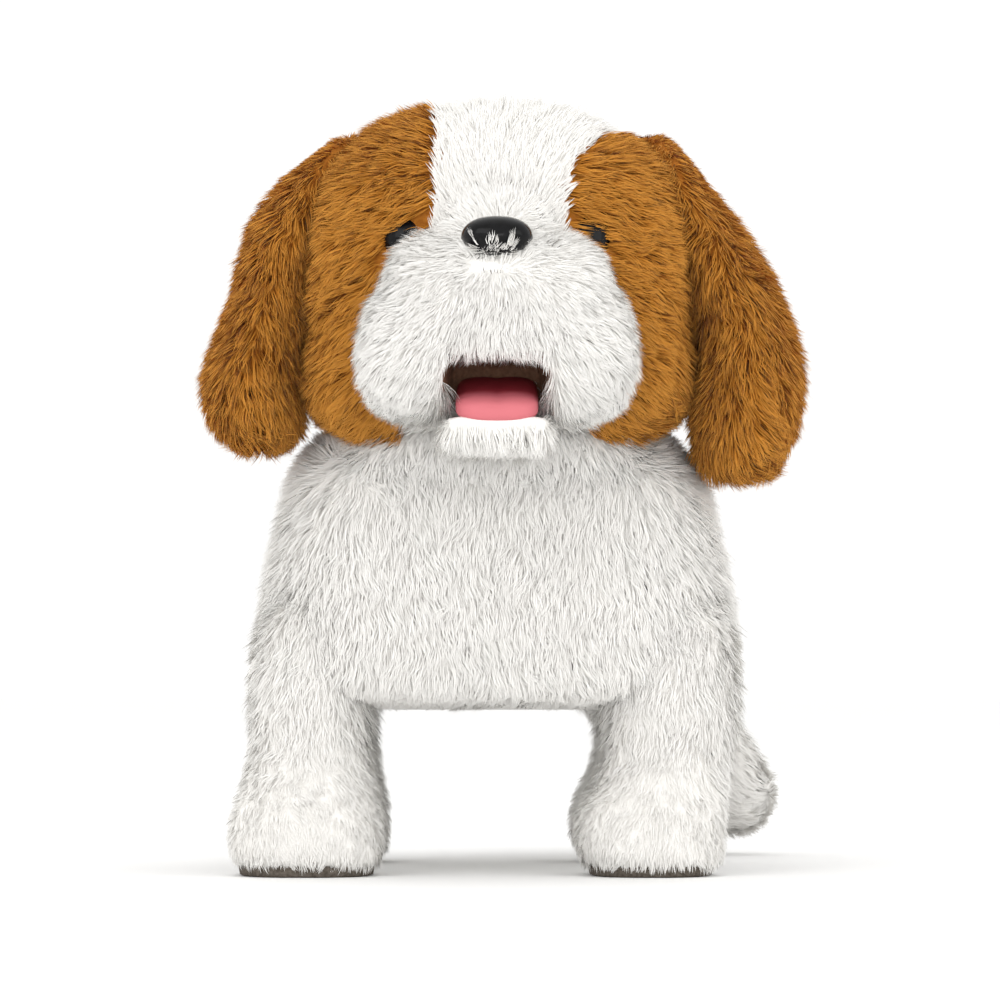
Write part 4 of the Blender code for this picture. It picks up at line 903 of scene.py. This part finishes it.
# --- ears ---------------------------------------------------------------------------------------
LEFT_EAR = [  # z, centre x, half thickness, half depth, centre y
    (0.2000, -0.0385, 0.0028, 0.0080, -0.046), (0.1965, -0.0425, 0.0048, 0.0130, -0.046),
    (0.1880, -0.0490, 0.0065, 0.0175, -0.047), (0.1740, -0.0555, 0.0082, 0.0205, -0.048),
    (0.1580, -0.0595, 0.0092, 0.0222, -0.049), (0.1430, -0.0636, 0.0104, 0.0226, -0.050),
    (0.1330, -0.0655, 0.0110, 0.0215, -0.051), (0.1245, -0.0648, 0.0102, 0.0182, -0.051),
    (0.1195, -0.0640, 0.0076, 0.0125, -0.051), (0.1175, -0.0640, 0.0030, 0.0055, -0.051)]
RIGHT_EAR = [
    (0.2000, 0.0405, 0.0028, 0.0080, -0.046), (0.1965, 0.0435, 0.0048, 0.0130, -0.046),
    (0.1880, 0.0475, 0.0068, 0.0175, -0.047), (0.1740, 0.0552, 0.0084, 0.0205, -0.048),
    (0.1560, 0.0632, 0.0106, 0.0224, -0.049), (0.1400, 0.0668, 0.0120, 0.0228, -0.050),
    (0.1260, 0.0668, 0.0124, 0.0215, -0.051), (0.1165, 0.0660, 0.0106, 0.0175, -0.051),
    (0.1115, 0.0655, 0.0074, 0.0115, -0.051), (0.1095, 0.0655, 0.0030, 0.0055, -0.051)]


def make_ear(name, side, table, seed):
    """A hanging ear, its skin and its pile."""
    rings = [superellipse((cx, cy, z), (half, depth), 2.2, 48, (1, 0, 0), (0, 1, 0))
             for z, cx, half, depth, cy in eased(table, 4)]
    skin = add_mesh(f"ear_skin_{name}", loft(rings), BROWN_BACK)
    moved(skin, lambda p: p + 0.0008 * waves(p, 55, seed))
    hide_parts(f"ear_{name}")

    def comb(p, n):
        outward = np.where(n[:, 0] * side > 0, 0.25, -0.15)
        fan = (p[:, 1] + 0.050) * 14
        return np.stack([side * outward, fan, -1.0 + 0 * fan], axis=1) + 0.35 * waves(p, 60, seed + 2)

    def size(p):
        return 0.0074 - 0.0042 * np.clip((p[:, 2] - 0.184) / 0.012, 0, 1)

    pile = grow(f"ear_pile_{name}", skin, BROWN_PILE, 3.7, size, 0.00031, comb, seed, lean=0.78,
                clump=0.5, clump_size=2.4, twist=0.9, soft=0.55)
    for ob in (skin, pile):
        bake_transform(ob)


# --- tail ---------------------------------------------------------------------------------------
def make_tail():
    """The tail, which goes back from the body and comes down behind the right hind leg."""
    route = eased([  # x, y, z, radius
        (0.000, 0.0660, 0.0625, 0.0100), (0.000, 0.0740, 0.0615, 0.0108), (0.001, 0.0810, 0.0628, 0.0122),
        (0.006, 0.0895, 0.0645, 0.0134), (0.016, 0.0965, 0.0640, 0.0142), (0.029, 0.1010, 0.0595, 0.0148),
        (0.041, 0.1025, 0.0505, 0.0150), (0.052, 0.1020, 0.0400, 0.0150), (0.0605, 0.1000, 0.0300, 0.0150),
        (0.0670, 0.0975, 0.0225, 0.0146), (0.0735, 0.0950, 0.0190, 0.0124), (0.0785, 0.0930, 0.0180, 0.0080),
        (0.0805, 0.0920, 0.0178, 0.0025)], 4)
    rings = []
    for k, (x, y, z, r) in enumerate(route):
        along = Vector(route[min(k + 1, len(route) - 1)][:3] - route[max(k - 1, 0)][:3]).normalized()
        side = along.cross(Vector((0, 0, 1))).normalized()
        rings.append(superellipse((x, y, z), (r, r), 2.0, 36, side, side.cross(along)))
    skin = add_mesh("tail_skin", loft(rings), WHITE_BACK)
    moved(skin, lambda p: p + 0.0006 * waves(p, 60, 70))
    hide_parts("tail_plush")

    def comb(p, n):
        closest = nearest(p, route[:, :3])
        ahead = route[np.minimum(closest + 1, len(route) - 1), :3] - route[np.maximum(closest - 1, 0), :3]
        return unit(ahead) + 0.25 * waves(p, 60, 72)

    pile = grow("tail_pile", skin, WHITE_PILE, 2.4, 0.0060, 0.00036, comb, 71, lean=1.1,
                clump=0.42, clump_size=2.6)
    for ob in (skin, pile):
        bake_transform(ob)


# --- the CAD pieces that stay --------------------------------------------------------------------
def dress_cad():
    """Every CAD piece gets the material of its slot."""
    shell = grained("shell_plastic_fine", (0.66, 0.655, 0.62), (0.74, 0.735, 0.70), 900, 0.5, depth=0.00005)
    gear = grained("gear_plastic_fine", (0.84, 0.83, 0.78), (0.88, 0.87, 0.82), 500, 0.32, depth=0.00003)
    steel = grained("steel_drawn", (0.50, 0.50, 0.52), (0.66, 0.66, 0.68), 300, 0.32, depth=0.00003,
                    stretch=(1, 1, 12), metallic=1.0)
    brass = grained("brass_pressed", (0.62, 0.43, 0.17), (0.75, 0.55, 0.25), 400, 0.35, depth=0.00003,
                    metallic=1.0)
    board = grained("board_green", (0.010, 0.09, 0.035), (0.02, 0.17, 0.07), 260, 0.45, depth=0.00004,
                    coat=0.3)
    wrap = grained("cell_sleeve", (0.02, 0.07, 0.22), (0.04, 0.12, 0.34), 240, 0.35, depth=0.00003, coat=0.4)
    black = grained("black_moulding", (0.010, 0.010, 0.011), (0.022, 0.022, 0.024), 700, 0.4, depth=0.00004)
    rubber = grained("wire_rubber", (0.012, 0.012, 0.013), (0.03, 0.03, 0.032), 500, 0.55, depth=0.00004)
    by_slot = {"shell_plastic": shell, "gear_plastic": gear, "steel": steel, "brass": brass, "circuit": board,
               "black_plastic": black, "cell_wrap": wrap, "mouth_lining": MOUTH_CLOTH, "black_wire": rubber,
               "white_plush": WHITE_BACK, "brown_plush": BROWN_BACK, "tongue": TONGUE, "sole": SOLE}
    slots = {s["node"]: s["material_slot"] for s in frame["record"]["subparts"]}
    for name, ob in frame["nodes"].items():
        for place in ob.material_slots:
            place.material = by_slot[slots[name]]


make_camera()
make_studio()
make_torso()
for leg_name, leg_side, leg_y, leg_seed in (("front_left", -1, -0.045, 80), ("front_right", 1, -0.045, 90),
                                            ("rear_left", -1, 0.045, 100), ("rear_right", 1, 0.045, 110)):
    make_leg(leg_name, leg_side, leg_y, leg_seed)
make_head()
make_jaw()
make_ear("left", -1, LEFT_EAR, 120)
make_ear("right", 1, RIGHT_EAR, 130)
make_tail()
dress_cad()
